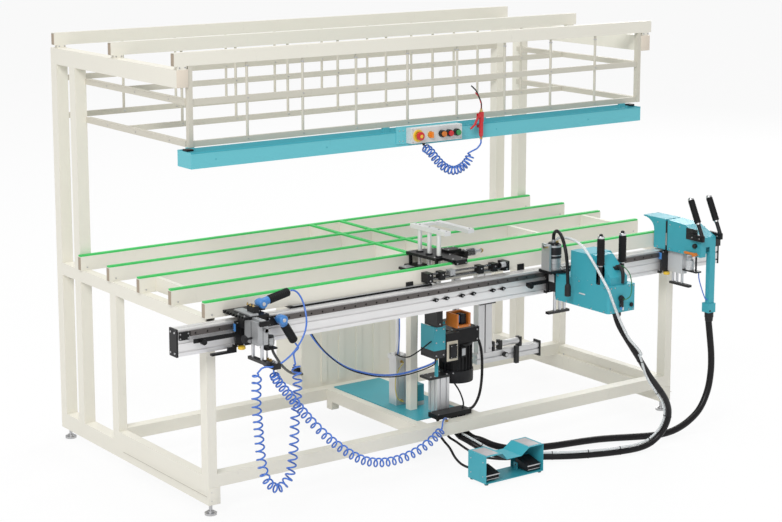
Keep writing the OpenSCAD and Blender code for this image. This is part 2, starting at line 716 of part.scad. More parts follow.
module left_filter() color(black) centred() {
    x = left_x;
    block(x - 18, x + 40, plate_front - 150, plate_front - 96, beam_z + 14, beam_z + 22);
    block(x - 13.7, x - 4, plate_front - 150, plate_front - 112, beam_z + 22, beam_z + 62);
    rod_z(x + 12, plate_front - 132, beam_z + 22, beam_z + 30, 26);
    rod_z(x + 12, plate_front - 132, beam_z + 30, beam_z + 66, 40);
    rod_z(x + 12, plate_front - 132, beam_z + 66, beam_z + 76, 34);
    rod_z(x - 8, plate_front - 140, beam_z - 30, beam_z + 14, 8);
    block(x - 24, x + 12, plate_front - 222, plate_front - 132, beam_z - 56, beam_z - 30);
}

// Sum of the distances between neighbouring points, up to point n.
function run(p, n) = n == 0 ? 0 : run(p, n - 1) + norm(p[n] - p[n - 1]);
// Point at a share of the route, on a smooth curve through the points.
function clamp_i(p, i) = p[max(0, min(len(p) - 1, i))];
function spline(p, i, t) = let (a = clamp_i(p, i - 1), b = clamp_i(p, i), c = clamp_i(p, i + 1),
    d = clamp_i(p, i + 2)) b + 0.5 * t * ((c - a) + t * ((2 * a - 5 * b + 4 * c - d)
    + t * (3 * (b - c) + d - a)));
function smooth(p, per) = [for (i = [0 : len(p) - 2], k = [0 : per - 1]) spline(p, i, k / per),
    p[len(p) - 1]];
function unit(v) = v / max(norm(v), 1e-9);
function tangent(p, i) = unit(clamp_i(p, i + 1) - clamp_i(p, i - 1));
// Carries a side vector along the route without twist.
function frames(p, i, u) = i >= len(p) ? [] : let (t = tangent(p, i), v = unit(u - (u * t) * t))
    concat([v], frames(p, i + 1, v));
function start_side(t) = abs(t.z) > 0.9 ? [1, 0, 0] : [0, 0, 1];

// One closed tube of diameter d along the points p.
module hose(p, d, sides = 8) {
    us = frames(p, 0, start_side(tangent(p, 0)));
    n = len(p);
    pts = [for (i = [0 : n - 1]) let (t = tangent(p, i), u = us[i], w = cross(t, u))
        for (k = [0 : sides - 1]) p[i] + d / 2 * (cos(360 * k / sides) * u + sin(360 * k / sides) * w)];
    walls = [for (i = [0 : n - 2], k = [0 : sides - 1]) let (a = i * sides + k,
        b = i * sides + (k + 1) % sides) each [[b, a, b + sides], [b + sides, a, a + sides]]];
    caps = [for (k = [1 : sides - 2]) each [[0, k, k + 1],
        [(n - 1) * sides, (n - 1) * sides + k + 1, (n - 1) * sides + k]]];
    polyhedron(points = pts, faces = concat(walls, caps), convexity = 10);
}

// Points of a curly hose: a helix of even turns round a smooth route, with plain leads.
function curly(route, curls, tail_a, tail_b) = let (
    line = smooth(route, 8), us = frames(line, 0, start_side(tangent(line, 0))),
    n = len(line) - 1, steps = curls * 8, r = (curl_d - curl_tube_d) / 2)
    concat(tail_a, [for (k = [0 : steps]) let (s = k / steps * n, i = min(n - 1, floor(s)), f = s - i,
        c = line[i] * (1 - f) + line[i + 1] * f, t = unit(line[i + 1] - line[i]),
        u0 = us[i] * (1 - f) + us[i + 1] * f, u = unit(u0 - (u0 * t) * t), w = cross(t, u),
        a = 360 * k / 8, g = min(1, k / 4, (steps - k) / 4))
        c + r * g * (cos(a) * u + sin(a) * w)], tail_b);

// Least distance between points of the tube that aren't neighbours, less the diameter.
function least_gap(p, d) = min([for (i = [0 : len(p) - 8], j = [i + 6 : min(len(p) - 1, i + 22)])
    norm(p[i] - p[j])]) - d;

left_route = [[-1346, -1056, 724], [-1344, -1044, 650], [-1341, -1040, 560], [-1334, -1040, 480],
    [-1328, -1040, 400], [-1318, -1040, 310], [-1290, -1036, 225], [-1228, -1026, 176],
    [-1166, -1016, 208], [-1141, -1010, 280], [-1128, -1005, 370], [-1119, -1000, 465],
    [-1104, -994, 560], [-1092, -980, 640], [-1082, -950, 700]];
left_tail_a = [[-1274, -1070, 746], [-1284, -1070, 746], [-1308, -1070, 751], [-1330, -1066, 746]];
left_tail_b = [[-1076, -932, 722], [-1066, -914, 740], lower_tip + 30 * lower_axis + [-2, -6, 0],
    lower_tip + 12 * lower_axis, lower_tip];
supply_route = [[-1262, -1058, 708], [-1246, -1052, 680], [-1206, -1046, 630], [-1157, -1036, 574],
    [-1103, -1025, 512], [-1040, -1010, 444], [-962, -995, 366], [-886, -980, 300],
    [-800, -965, 236], [-712, -950, 184], [-615, -930, 150], [-512, -905, 132],
    [-407, -880, 130], [-300, -850, 142], [-200, -815, 166], [-150, -800, 190]];
supply_tail_a = [[-1266, -1062, 732], [-1266, -1062, 723], [-1265, -1061, 716]];
supply_tail_b = [[-138, -790, 206], [-116, -768, 222], [-84, -742, 222], [-62, -724, 210],
    [-58, -720, 203], [-58, -720, 195]];
gun_route = [[-158, -668, 1552], [-128, -668, 1532], [-88, -668, 1488], [-42, -668, 1448],
    [10, -668, 1426], [56, -668, 1432], [96, -668, 1456], [118, -668, 1490]];
gun_tail_a = [[-164, -667, 1576.5], [-164, -667, 1567]];
gun_tail_b = [[96, -676, 1502], [122, -678, 1512], [150, -676, 1520], [172, -672, 1534],
    [183, -668, 1546], [184, -667, 1554], [184, -667, 1563]];

left_points = curly(left_route, left_curls, left_tail_a, left_tail_b);
supply_points = curly(supply_route, supply_curls, supply_tail_a, supply_tail_b);
gun_points = curly(gun_route, gun_curls, gun_tail_a, gun_tail_b);
echo(least_gap_left = least_gap(left_points, curl_tube_d),
    least_gap_supply = least_gap(supply_points, curl_tube_d),
    least_gap_gun = least_gap(gun_points, curl_tube_d));

module left_hose() color(blue) centred() hose(left_points, curl_tube_d, 6);
module supply_hose() color(blue) centred() hose(supply_points, curl_tube_d, 6);
module gun_hose() color(blue) centred() hose(gun_points, curl_tube_d, 6);
module driver_hose() color(blue) centred() hose([upper_tip, upper_tip + 10 * upper_axis,
    upper_tip + [24, -4, -2], [-1014, -876, 996], [-1004, -892, 966], [-1004, -916, 920],
    [-1018, -944, 872], [-1050, -972, 834], [-1096, -1000, 800], [-1150, -1026, 772],
    [-1202, -1044, 753], [-1226, -1050, 747], [-1238, -1051, 746]], curl_tube_d);

module right_carriage() color(black) centred() {
    carriage(right_x, 170);
    stop_arm(right_x - 218, right_x - 85, right_x - 205);
    difference() {
        block(right_x - 80, right_x + 10, plate_front - 60, plate_front, beam_z + 20, beam_z + 110);
        for (x = [-64, -30, -2])
            rod_z(right_x + x, plate_front - 30, beam_z - 1, beam_z + 100, guide_rod_d + 0.1);
    }
}

head_x0 = right_x - 85;
head_rear = plate_front - 60.3;
head_front = plate_front - 3 - head_d;
head_z0 = beam_top - 3 - head_h;
head_z1 = beam_top - 3;

module right_housing() color(teal) centred() difference() {
    linear_block(head_x0, head_x0 + head_w, head_front, head_rear, head_z0, head_z1, 8);
    linear_block(head_x0 + sheet, head_x0 + head_w - sheet, head_front + sheet, head_rear - sheet,
        head_z0 + sheet, head_z1 - sheet, 7);
    rod_y(head_x0 + 75, head_front - 1, head_front + 3, head_z0 + 70, 26);
    rod_y(head_x0 + 145, head_front - 1, head_front + 3, head_z0 + 30, 18);
    for (h = grips) rod_z(h[0], h[1], head_z1 - 3, head_z1 + 1, 20);
}

// Block whose front left corner is cut off.
module linear_block(x0, x1, y0, y1, z0, z1, cut) translate([0, 0, z0]) linear_extrude(z1 - z0)
    polygon([[x0 + cut, y0], [x1, y0], [x1, y1], [x0, y1], [x0, y0 + cut]]);

grips = [[head_x0 + 14, head_front + 76], [head_x0 + head_w - 14, head_front + 76]];

module right_hood() color(teal) centred() {
    rear = head_front + 274;
    front = head_front + 30;
    x0 = head_x0 + 0.3;
    difference() {
        union() {
            side_profile_plate(x0, head_x0 + head_w - 17, [[rear, head_z1], [rear, head_z1 + 134],
                [rear - 121, head_z1 + 134], [front, head_z1]]);
            side_profile_plate(head_x0 + 27, head_x0 + 132, [[rear - 100, head_z1],
                [rear - 100, head_z1 + 134], [rear - 156, head_z1 + 128], [front - 14, head_z1 + 36],
                [front - 14, head_z1]]);
        }
        for (h = grips) rod_z(h[0], h[1], head_z1 - 3, head_z1 + 140, 40);
        side_profile_plate(x0 + sheet, head_x0 + head_w - 17 - sheet, [[rear - 3, head_z1 - 1],
            [rear - 3, head_z1 + 130], [rear - 119, head_z1 + 130], [front + 12, head_z1 - 1]]);
        side_profile_plate(head_x0 + 29, head_x0 + 130, [[rear - 102, head_z1 - 1],
            [rear - 102, head_z1 + 130], [rear - 154, head_z1 + 125], [front - 10, head_z1 + 34],
            [front - 10, head_z1 - 1]]);
    }
    translate([head_x0 + 96, front + 22, head_z1 + 67]) rotate([42, 0, 0]) cylinder(h = 15, d = 30);
}

module right_grips() color(black) centred() for (h = grips) {
    rod_z(h[0], h[1], head_z1 - 2, head_z1 + 92, 20);
    rod_z(h[0], h[1], head_z1 + 92, head_z1 + 222, grip_d);
    rod_z(h[0], h[1], head_z1 + 222, head_z1 + 234, grip_d - 6);
    rod_z(h[0], h[1], head_z1 + 234, head_z1 + 244, 18);
}

module right_driver() color(steel) centred() {
    x = right_x - 94;
    y = plate_front - 44;
    block(x - 54, x + 74, y - 50, y + 40, beam_top + 4, beam_top + 18);
    block(x - 54, x - 44, y - 40, y + 20, beam_top + 18, beam_top + 150);
    rod_z(x + 2, y - 4, beam_top + 18, beam_top + 84, 70);
    rod_z(x + 2, y - 4, beam_top + 84, beam_top + 140, 78);
    rod_z(x + 2, y - 4, beam_top + 140, beam_top + 150, 50);
    rod_x(x - 74, x - 54, y - 20, beam_top + 140, 14);
    rod_z(x + 2, y - 4, beam_top + 150, beam_top + 164, 20);
    rod_y(x + 30, y - 70, y - 50, beam_top + 11, 12);
}

module elbow_hose() color(black) centred() {
    x = right_x - 92;
    y = plate_front - 48;
    hose([[x, y, beam_top + 164], [x, y, beam_top + 184], [x - 4, y - 14, beam_top + 204],
        [x - 12, y - 40, beam_top + 214], [x - 20, y - 72, beam_top + 206],
        [x - 30, y - 106, beam_top + 178], [x - 37, y - 134, beam_top + 130],
        [x - 41, y - 150, beam_top + 70], [x - 42, y - 156, beam_top + 10],
        [x - 42, y - 158, beam_top - 23.7]], 17, 8);
    rod_z(x - 42, y - 158, beam_top - 84, beam_top - 24, 30);
}

module right_foot() color(steel) centred() {
    for (x = [-64, -30, -2])
        rod_z(right_x + x, plate_front - 30, beam_z - 80, beam_z + 70, guide_rod_d);
    block(right_x - 112, right_x + 24, plate_front - 42, plate_front - 18, beam_z - 92, beam_z - 80);
}

right_route = [[527, -1285, 773], [527, -1285, 744], [544, -1300, 690], [610, -1307, 594],
    [678, -1302, 508], [744, -1294, 426], [816, -1286, 348], [878, -1274, 278], [920, -1254, 208],
    [932, -1232, 142], [912, -1208, 78], [860, -1190, 34], [790, -1178, 18], [700, -1164, 16],
    [625, -1146, 16], [555, -1122, 16], [490, -1096, 16], [425, -1064, 16], [350, -1018, 16],
    [280, -974, 17], [215, -934, 19], [150, -888, 26], [100, -842, 42], [62, -790, 72],
    [46, -746, 88], [34, -706, 100], [29, -678, 122], [28, -664, 150], [28, -661, 180], [28, -661, 200]];

module right_hose() color(black) centred() hose(right_route, head_hose_d, 8);

// Sagging tube from under the table to the bracket beside the motor.
module bundle_hose() color(blue) centred() {
    hose([[-544, -150, table_z], [-544, -150, table_z - 16],
        [-542, -152, 812], [-520, -152, 688], [-484, -150, 592], [-416, -190, 486], [-329, -240, 408],
        [-236, -300, 372], [-186, -400, 377], [-147, -500, 405], [-92, -570, 440],
        [-54, -604, 464], [-41, -610, 479], [-40, -610, 490]], 10, 8);
    hose(motor_route, 14, 8);
}

// Cable from the motor's end plate down to the gland box.
motor_route = [[238.6, -550, 545], [252, -550, 545], [272, -554, 514], [284, -560, 456], [284, -566, 380],
    [274, -574, 310], [248, -592, 256], [206, -620, 226], [160, -648, 213], [134, -655, 212],
    [118.4, -655, 212]];

module air_hose() color(white) centred() hose([[470, -911, beam_top + 150], [470, -911, beam_top + 164],
    [467, -936, 1086], [460, -1000, 1094], [448, -1060, 1095], [439, -1120, 1084], [430, -1180, 1054],
    [421, -1240, 1011], [419, -1290, 962], [425, -1334, 906], [442, -1350, 846], [470, -1356, 780],
    [508, -1356, 712], [552, -1352, 650], [590, -1352, 612], [622, -1350, 580], [640, -1342, 560],
    [644, -1330, 552], [644.6, -1321.4, 550.5]], 13, 8);

module far_carriage() color(black) centred() {
    carriage(far_x, 96);
    difference() {
        block(far_x - 4, far_x + 30, plate_front - 104, plate_front, beam_z + 14, beam_top + 4);
        for (y = [22, 52, 88])
            rod_z(far_x + 14, plate_front - y, beam_z, beam_top - 4, guide_rod_d + 0.1);
    }
    block(far_x - 4, far_x + 34, plate_front - 204, plate_front - 104, beam_z + 34, beam_z + 42);
    rod_z(far_x + 15, plate_front - 140, beam_z + 42, beam_z + 92, 42);
    rod_z(far_x + 15, plate_front - 140, beam_z + 92, beam_z + 108, 26);
    rod_z(far_x + 15, plate_front - 184, beam_z + 42, beam_top + 6.7, 10);
}

far_x0 = far_x - 26;
far_x1 = far_x0 + far_w;
far_front = -1112;
far_rear = -772;
far_z0 = beam_top + 7;
duct_d = 28;

module far_housing() color(teal) centred() {
    top = far_z0 + 160;
    split = far_rear - 98;
    difference() {
        union() {
            side_profile_plate(far_x0, far_x1, [[split, far_z0], [split, top], [far_front + 112, top - 8],
                [far_front, far_z0 + 100], [far_front, far_z0]]);
            side_profile_plate(far_x0, far_x1, [[far_rear, far_z0],
                for (a = [0 : 15 : 90]) [far_rear + 80 - 80 * cos(a), far_z0 + 94 + 60 * sin(a)],
                [far_rear + 80, top], [split + 12, top], [split + 12, far_z0]]);
        }
        block(far_x0 + 36, far_x0 + 64, far_front - 1, far_front + 50, far_z0 - 1, far_z0 + 50);
        side_profile_plate(far_x0 + 3, far_x1 - 3, [[split - 3, far_z0 - 1], [split - 3, top - 4],
            [far_front + 110, top - 12], [far_front + 3, far_z0 + 98], [far_front + 3, far_z0 - 1]]);
    }
    block(far_x0 + 10, far_x1 - 10, split - 1, split + 13, far_z0 + 8, top - 12);
    block(far_x0 + 3, far_x1 - 3, -900, -862, far_z0, far_z0 + 8);
    block(far_x0 + 8, far_x1 - 12, -888, -860, beam_top + 4.3, far_z0 + 1);
    difference() {
        block(far_x1 - duct_w, far_x1 + 0.5, far_front - 0.5, far_front + duct_d, 660, far_z0 + 20);
        block(far_x1 - duct_w + sheet, far_x1 - sheet, far_front + sheet,
            far_front + duct_d - sheet, 659, far_z0 + 19);
    }
    difference() {
        block(far_x1 - duct_w - 7, far_x1 + 7, far_front - 6, far_front + duct_d + 14, 620, 668);
        block(far_x1 - duct_w + 4, far_x1 - 4, far_front + 4, far_front + duct_d - 4, 650, 669);
    }
    block(far_x1, far_x1 + 22, far_front + 40, far_front + 48, far_z0 + 60, far_z0 + 76);
    block(far_x1 + 10, far_x1 + 46, far_front + 10, far_front + 41, far_z0 + 44, far_z0 + 85.7);
    block(far_x0 - 3, far_x0, far_front + 24, far_front + 104, far_z0 + 82, far_z0 + 140);
    rod_x(far_x0 - 14, far_x0, far_front + 36, far_z0 + 56, 24);
}

module far_grips() color(black) centred() for (x = [far_x0 - 12, far_x1 + 12]) {
    block(x - 8.7, x + 8.7, far_front - 30, far_front + 60, far_z0 + 86, far_z0 + 118);
    translate([x, far_front - 20, far_z0 + 112]) rotate([-26, 0, 0]) {
        cylinder(h = 66, d = 20);
        translate([0, 0, 66]) cylinder(h = 8, d = 24);
        translate([0, 0, 74]) cylinder(h = 122, d = grip_d - 4);
        translate([0, 0, 196]) cylinder(h = 8, d = grip_d - 8);
        translate([0, 0, 204]) cylinder(h = 8, d = grip_d - 16);
    }
}

module far_foot() color(steel) centred() {
    for (y = [22, 52, 88])
        rod_z(far_x + 14, plate_front - y, beam_z - 40, beam_top - 34, guide_rod_d);
    block(far_x + 2, far_x + 26, plate_front - 146, plate_front - 6, beam_z - 52, beam_z - 40);
}

far_hose_x = far_x1 - duct_w / 2;
far_hose_y = far_front + duct_d / 2 + 3;

module far_hose() color(black) centred() hose([[far_hose_x, far_hose_y, 620],
    [far_hose_x, far_hose_y, 580], [1356, -1096, 480], [1364, -1100, 390], [1362, -1102, 300],
    [1340, -1104, 205], [1288, -1104, 118], [1210, -1102, 64], [1124, -1098, 34], [1044, -1088, 23],
    [980, -1072, 22], [915, -1046, 22], [850, -1016, 22], [785, -986, 22], [715, -960, 22],
    [640, -942, 22], [565, -928, 22], [480, -912, 22], [400, -890, 22], [320, -865, 24],
    [240, -832, 32], [172, -800, 52], [122, -764, 78], [98, -736, 86], [88, -704, 98],
    [80, -676, 122], [78, -663, 150], [78, -661, 180], [78, -661, 200]], far_hose_d, 8);

module foot_switch() color(teal) centred() {
    x0 = pedal_x - pedal_w / 2;
    x1 = pedal_x + pedal_w / 2;
    rear = pedal_y + pedal_d;
    low = pedal_h - 33;
    outer = [[x0, 11], [x0, pedal_h + 2], [x0 + 100, pedal_h + 2], [x0 + 127, low + 2],
        [x1 - 137, low + 2], [x1 - 90, pedal_h + 2], [x1, pedal_h + 2], [x1, 11]];
    inner = [[x0 + sheet, 10], [x0 + sheet, pedal_h], [x0 + 99, pedal_h], [x0 + 126, low],
        [x1 - 136, low], [x1 - 89, pedal_h], [x1 - sheet, pedal_h], [x1 - sheet, 10]];
    block(x0, x1, pedal_y, rear, 8, 11);
    translate([0, rear, 0]) rotate([90, 0, 0]) linear_extrude(pedal_d) difference() {
        polygon(outer);
        polygon(inner);
    }
    for (side = [[x0 + sheet, x0 + 98], [x1 - 92, x1 - sheet]])
        block(side[0], side[1], rear - sheet, rear, 11, pedal_h);
    for (x = [x0 + 14, x1 - 14], y = [pedal_y + 14, rear - 14]) rod_z(x, y, 0, 8, 18);
    for (x = pedal_at, s = [-1, 1]) difference() {
        block(x + s * 44 - 2, x + s * 44 + 2, rear - 56, rear - 28, 11, 44);
        rod_x(x - 60, x + 60, rear - 42, 32, 8.1);
    }
    for (x = pedal_at) rod_y(x, rear, rear + 16, 34, 22);
}

pedal_at = [pedal_x - pedal_w / 2 + 50, pedal_x + pedal_w / 2 - 50];

// Ribbed tread on its pin.
module pedal(x) {
    rear = pedal_y + pedal_d;
    rod_x(x - 47, x + 47, rear - 42, 32, 8);
    side_profile_plate(x - 41.5, x + 41.5, [[rear - 36, 24], [rear - 36, 68], [pedal_y + 10, 46],
        [pedal_y + 10, 40], [rear - 60, 24]]);
    for (z = [22, 30]) block(x - 38, x + 38, pedal_y + 12, pedal_y + 46, z, z + 4);
    for (s = [-1, 1]) block(x + s * 36 - 2, x + s * 36 + 2, pedal_y + 14, pedal_y + 66, 20, 42);
}
module left_pedal() color(black) centred() pedal(pedal_at[0]);
module right_pedal() color(black) centred() pedal(pedal_at[1]);

// Cables from the foot switch to the gland in front of the tray.
module switch_cables() color(black) centred() {
    rear = pedal_y + pedal_d;
    hose([[pedal_at[0], rear + 16, 34], [pedal_at[0], rear + 30, 34], [-100, -930, 30], [-98, -880, 34],
        [-92, -830, 50], [-84, -780, 80], [-76, -722, 100], [-70, -684, 118], [-68, -666, 150],
        [-68, -661, 186], [-68, -661, 200]], 12, 8);
    hose([[pedal_at[1], rear + 16, 34], [pedal_at[1], rear + 30, 34], [130, -940, 26], [84, -900, 28],
        [36, -856, 38], [0, -806, 66], [-18, -742, 92], [-26, -700, 104], [-28, -676, 128],
        [-28, -663, 158], [-28, -661, 184], [-28, -661, 200]], 12, 8);
}

main_frame();
levelling_feet();
bench_frame();
table_rails();
slide_strips();
overhead_frame();
rack();
tray();
control_box();
emergency_stop();
selector_knob();
amber_button();
red_button();
green_button();
blow_gun();
gun_trigger();
gun_hose();
beam();
fittings();
guide_rail();
rear_cabinet();
base_tray();
router_column();
router_motor();
router_bracket();
router_spindle();
clamp_cylinder();
side_profile();
centre_deck();
centre_clamp();
stop_frame();
stop_slider();
left_carriage();
left_cylinder();
left_foot();
left_knob();
drivers();
left_filter();
left_hose();
driver_hose();
supply_hose();
right_carriage();
right_housing();
right_hood();
right_grips();
right_driver();
elbow_hose();
right_foot();
right_hose();
air_hose();
far_carriage();
far_housing();
far_grips();
far_foot();
far_hose();
foot_switch();
left_pedal();
right_pedal();
switch_cables();
bundle_hose();
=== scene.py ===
"""Looks of the sash assembly clamp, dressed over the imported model.

Sizes are written in millimetres of the machine's own drawing, with X along the
bench, Y from the operator to the back and Z up from the floor, and are turned
into metres of the shared frame when a piece is finished.
"""

import itertools
import math

import bmesh
import bpy
from mathutils import Matrix, Vector


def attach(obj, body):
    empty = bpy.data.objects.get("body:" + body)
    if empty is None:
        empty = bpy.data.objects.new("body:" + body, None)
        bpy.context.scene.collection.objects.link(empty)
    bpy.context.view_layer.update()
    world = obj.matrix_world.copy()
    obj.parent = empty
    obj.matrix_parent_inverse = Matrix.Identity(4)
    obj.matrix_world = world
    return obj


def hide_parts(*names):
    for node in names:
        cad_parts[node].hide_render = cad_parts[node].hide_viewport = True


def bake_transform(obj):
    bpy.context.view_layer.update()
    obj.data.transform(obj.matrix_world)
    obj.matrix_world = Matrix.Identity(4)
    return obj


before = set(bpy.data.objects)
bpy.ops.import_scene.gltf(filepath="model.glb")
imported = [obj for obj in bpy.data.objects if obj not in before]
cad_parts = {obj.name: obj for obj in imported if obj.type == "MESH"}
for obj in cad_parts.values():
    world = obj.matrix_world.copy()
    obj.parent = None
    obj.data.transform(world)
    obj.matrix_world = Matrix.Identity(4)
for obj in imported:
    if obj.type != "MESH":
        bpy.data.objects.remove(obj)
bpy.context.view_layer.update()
scene = bpy.context.scene
PLACE = Vector((-0.030, 0.2885, 0.0))  # the drawing's origin in the shared frame
TO_FRAME = Matrix.Translation(PLACE) @ Matrix.Scale(0.001, 4)
UP, DOWN = (0, 0, 1), (0, 0, -1)
FRONT, BACK = (0, -1, 0), (0, 1, 0)
LEFT, RIGHT = (-1, 0, 0), (1, 0, 0)


# ---- Camera ----

PHOTO_WIDTH, FOCAL_PIXELS, SENSOR = 782, 1875, 36


def set_camera():
    """Stands where the photograph was taken, a little to the left and above."""
    data = bpy.data.cameras.new("camera")
    camera = bpy.data.objects.new("camera", data)
    scene.collection.objects.link(camera)
    yaw, pitch = math.radians(35.8065), math.radians(9.8305)
    camera.location = PLACE + Vector((-5.4473, -7.7252, 2.9102))
    camera.rotation_euler = (math.pi / 2 - pitch, 0, -yaw)
    data.sensor_width = SENSOR
    data.lens = FOCAL_PIXELS / PHOTO_WIDTH * SENSOR
    data.shift_y = -0.1
    data.clip_end = 100
    scene.camera = camera


set_camera()
scene.view_settings.view_transform = "Standard"


# ---- Shaping ----

SHARP_ANGLE = math.radians(38)
MERGE = 0.001


class Piece:
    """Something in the making: parts are added in millimetres of the drawing."""

    def __init__(self, name):
        self.name = name
        self.bm = bmesh.new()
        self.finishes = []

    def add(self, part, finish, smooth):
        """Takes a finished part into the piece, in one finish."""
        if finish not in self.finishes:
            self.finishes.append(finish)
        index = self.finishes.index(finish)
        for face in part.faces:
            face.material_index = index
            face.smooth = smooth
        bmesh.ops.recalc_face_normals(part, faces=part.faces)
        mesh = bpy.data.meshes.new("part")
        part.to_mesh(mesh)
        part.free()
        self.bm.from_mesh(mesh)
        bpy.data.meshes.remove(mesh)

    def block(self, x, y, z, finish, edge=0.8, turn=None):
        """Box over the spans x, y and z, with rounded edges, turned about its middle."""
        part = bmesh.new()
        bmesh.ops.create_cube(part, size=1)
        size = Vector((x[1] - x[0], y[1] - y[0], z[1] - z[0]))
        middle = Vector((x[0] + x[1], y[0] + y[1], z[0] + z[1])) / 2
        bmesh.ops.scale(part, vec=size, verts=part.verts)
        bmesh.ops.translate(part, vec=middle, verts=part.verts)
        if edge:
            bmesh.ops.bevel(part, geom=part.edges[:], offset=min(edge, min(size) * 0.45),
                            affect="EDGES", segments=2, profile=0.5, material=-1)
        if turn is not None:
            bmesh.ops.rotate(part, cent=middle, matrix=turn, verts=part.verts)
        self.add(part, finish, False)

    def lathe(self, foot, along, outline, finish, steps=28, bore=0):
        """Turned part: outline lists (distance along, radius) from foot. The ends
        close down to the bore; where bore is None they stay as listed."""
        if bore is not None:
            outline = [(0, bore), *outline]
            if outline[-1][1] != bore:
                outline.append((outline[-1][0], bore))
        part = bmesh.new()
        line = [part.verts.new((radius, 0, height)) for height, radius in outline]
        edges = [part.edges.new(pair) for pair in zip(line, line[1:])]
        bmesh.ops.spin(part, geom=line + edges, cent=(0, 0, 0), axis=UP,
                       angle=2 * math.pi, steps=steps, use_merge=True)
        bmesh.ops.remove_doubles(part, verts=part.verts, dist=MERGE)
        aim = Vector(along).normalized().to_track_quat("Z", "Y").to_matrix().to_4x4()
        bmesh.ops.transform(part, matrix=Matrix.Translation(Vector(foot)) @ aim, verts=part.verts)
        self.add(part, finish, True)

    def disc(self, foot, along, length, radius, finish, edge=0.8, steps=28):
        """Plain turned disc or rod with rounded rims."""
        edge = min(edge, length * 0.4, radius * 0.4)
        self.lathe(foot, along, [(0, radius - edge), (edge, radius), (length - edge, radius),
                                 (length, radius - edge)], finish, steps)

    def screws(self, x, y, z, along, radius, height=None, finish=None):
        """Socket heads with their recess, at each crossing of the coordinates given."""
        tall = height or radius * 0.9
        lists = [c if isinstance(c, (tuple, range)) else (c,) for c in (x, y, z)]
        for foot in itertools.product(*lists):
            self.lathe(foot, along, [
                (0, radius), (tall * 0.85, radius), (tall, radius * 0.9), (tall, radius * 0.5),
                (tall * 0.45, radius * 0.46), (tall * 0.4, 0)], finish or bright_steel, 12)

    def sweep(self, points, width, finish, sides=12, widths=None):
        """Round tube along the points, closed at both ends."""
        part = bmesh.new()
        frames = carried_frames(points)
        widths = widths or [width] * len(points)
        ring = bmesh.ops.create_circle(part, cap_ends=False, segments=sides, radius=widths[0] / 2,
                                       matrix=frames[0])["verts"]
        edges = list({e for v in ring for e in v.link_edges})
        first = edges
        for before, after, old, new in zip(frames, frames[1:], widths, widths[1:]):
            grown = bmesh.ops.extrude_edge_only(part, edges=edges)["geom"]
            ring = [g for g in grown if isinstance(g, bmesh.types.BMVert)]
            edges = [g for g in grown if isinstance(g, bmesh.types.BMEdge)
                     and g.verts[0] in ring and g.verts[1] in ring]
            step = after @ Matrix.Scale(new / old, 4) @ before.inverted()
            bmesh.ops.transform(part, matrix=step, verts=ring)
        bmesh.ops.holes_fill(part, edges=first, sides=0)
        bmesh.ops.holes_fill(part, edges=edges, sides=0)
        self.add(part, finish, True)

    def done(self, body=None, replaces=()):
        """Makes the object, in metres of the shared frame."""
        bmesh.ops.transform(self.bm, matrix=TO_FRAME, verts=self.bm.verts)
        mesh = bpy.data.meshes.new(self.name)
        self.bm.to_mesh(mesh)
        self.bm.free()
        for finish in self.finishes:
            mesh.materials.append(finish)
        mesh.set_sharp_from_angle(angle=SHARP_ANGLE)
        made = bpy.data.objects.new(self.name, mesh)
        scene.collection.objects.link(made)
        if body:
            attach(made, body)
        if replaces:
            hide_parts(*replaces)
        return made


def turned(turns):
    """Rotation about the upright by a share of a full turn."""
    return Matrix.Rotation(2 * math.pi * turns, 3, "Z")


def tilted(degrees, across):
    """Direction that leans from the upright along an axis, 0 for X or 1 for Y."""
    way = Vector((0, 0, math.cos(math.radians(degrees))))
    way[across] = math.sin(math.radians(degrees))
    return way


def carried_frames(points):
    """Frames along a line of points, carried without twist, with Z along the line."""
    points = [Vector(p) for p in points]
    made, side = [], None
    for i, here in enumerate(points):
        ahead = (points[min(i + 1, len(points) - 1)] - points[max(i - 1, 0)]).normalized()
        if side is None:
            side = Vector(RIGHT) if abs(ahead.z) > 0.9 else Vector(UP)
        side = (side - side.dot(ahead) * ahead).normalized()
        matrix = Matrix((side, ahead.cross(side), ahead)).transposed().to_4x4()
        made.append(Matrix.Translation(here) @ matrix)
    return made


def smooth_line(points, per=6):
    """Smooth line through the points, with the ends as they are."""
    p = [Vector(q) for q in points]
    line = []
    for i in range(len(p) - 1):
        a, b, c, d = p[max(i - 1, 0)], p[i], p[i + 1], p[min(i + 2, len(p) - 1)]
        for k in range(per):
            t = k / per
            line.append(b + 0.5 * t * ((c - a) + t * ((2 * a - 5 * b + 4 * c - d)
                                                     + t * (3 * (b - c) + d - a))))
    return line + [p[-1]]


# ---- Finishes ----

def operator(kind, swapped=False):
    """One kind of sum; swapped is for a plain number on the left."""
    def summed(self, other):
        pair = (other, self) if swapped else (self, other)
        return self.finish.node("ShaderNodeMath", {"operation": kind}, dict(enumerate(pair)))
    return summed


class Signal:
    """One value in a finish, which takes part in sums."""

    def __init__(self, finish, socket):
        self.finish, self.socket = finish, socket

    __add__, __radd__ = operator("ADD"), operator("ADD", True)
    __sub__, __rsub__ = operator("SUBTRACT"), operator("SUBTRACT", True)
    __mul__, __rmul__ = operator("MULTIPLY"), operator("MULTIPLY", True)
    __gt__, __lt__ = operator("GREATER_THAN"), operator("LESS_THAN")


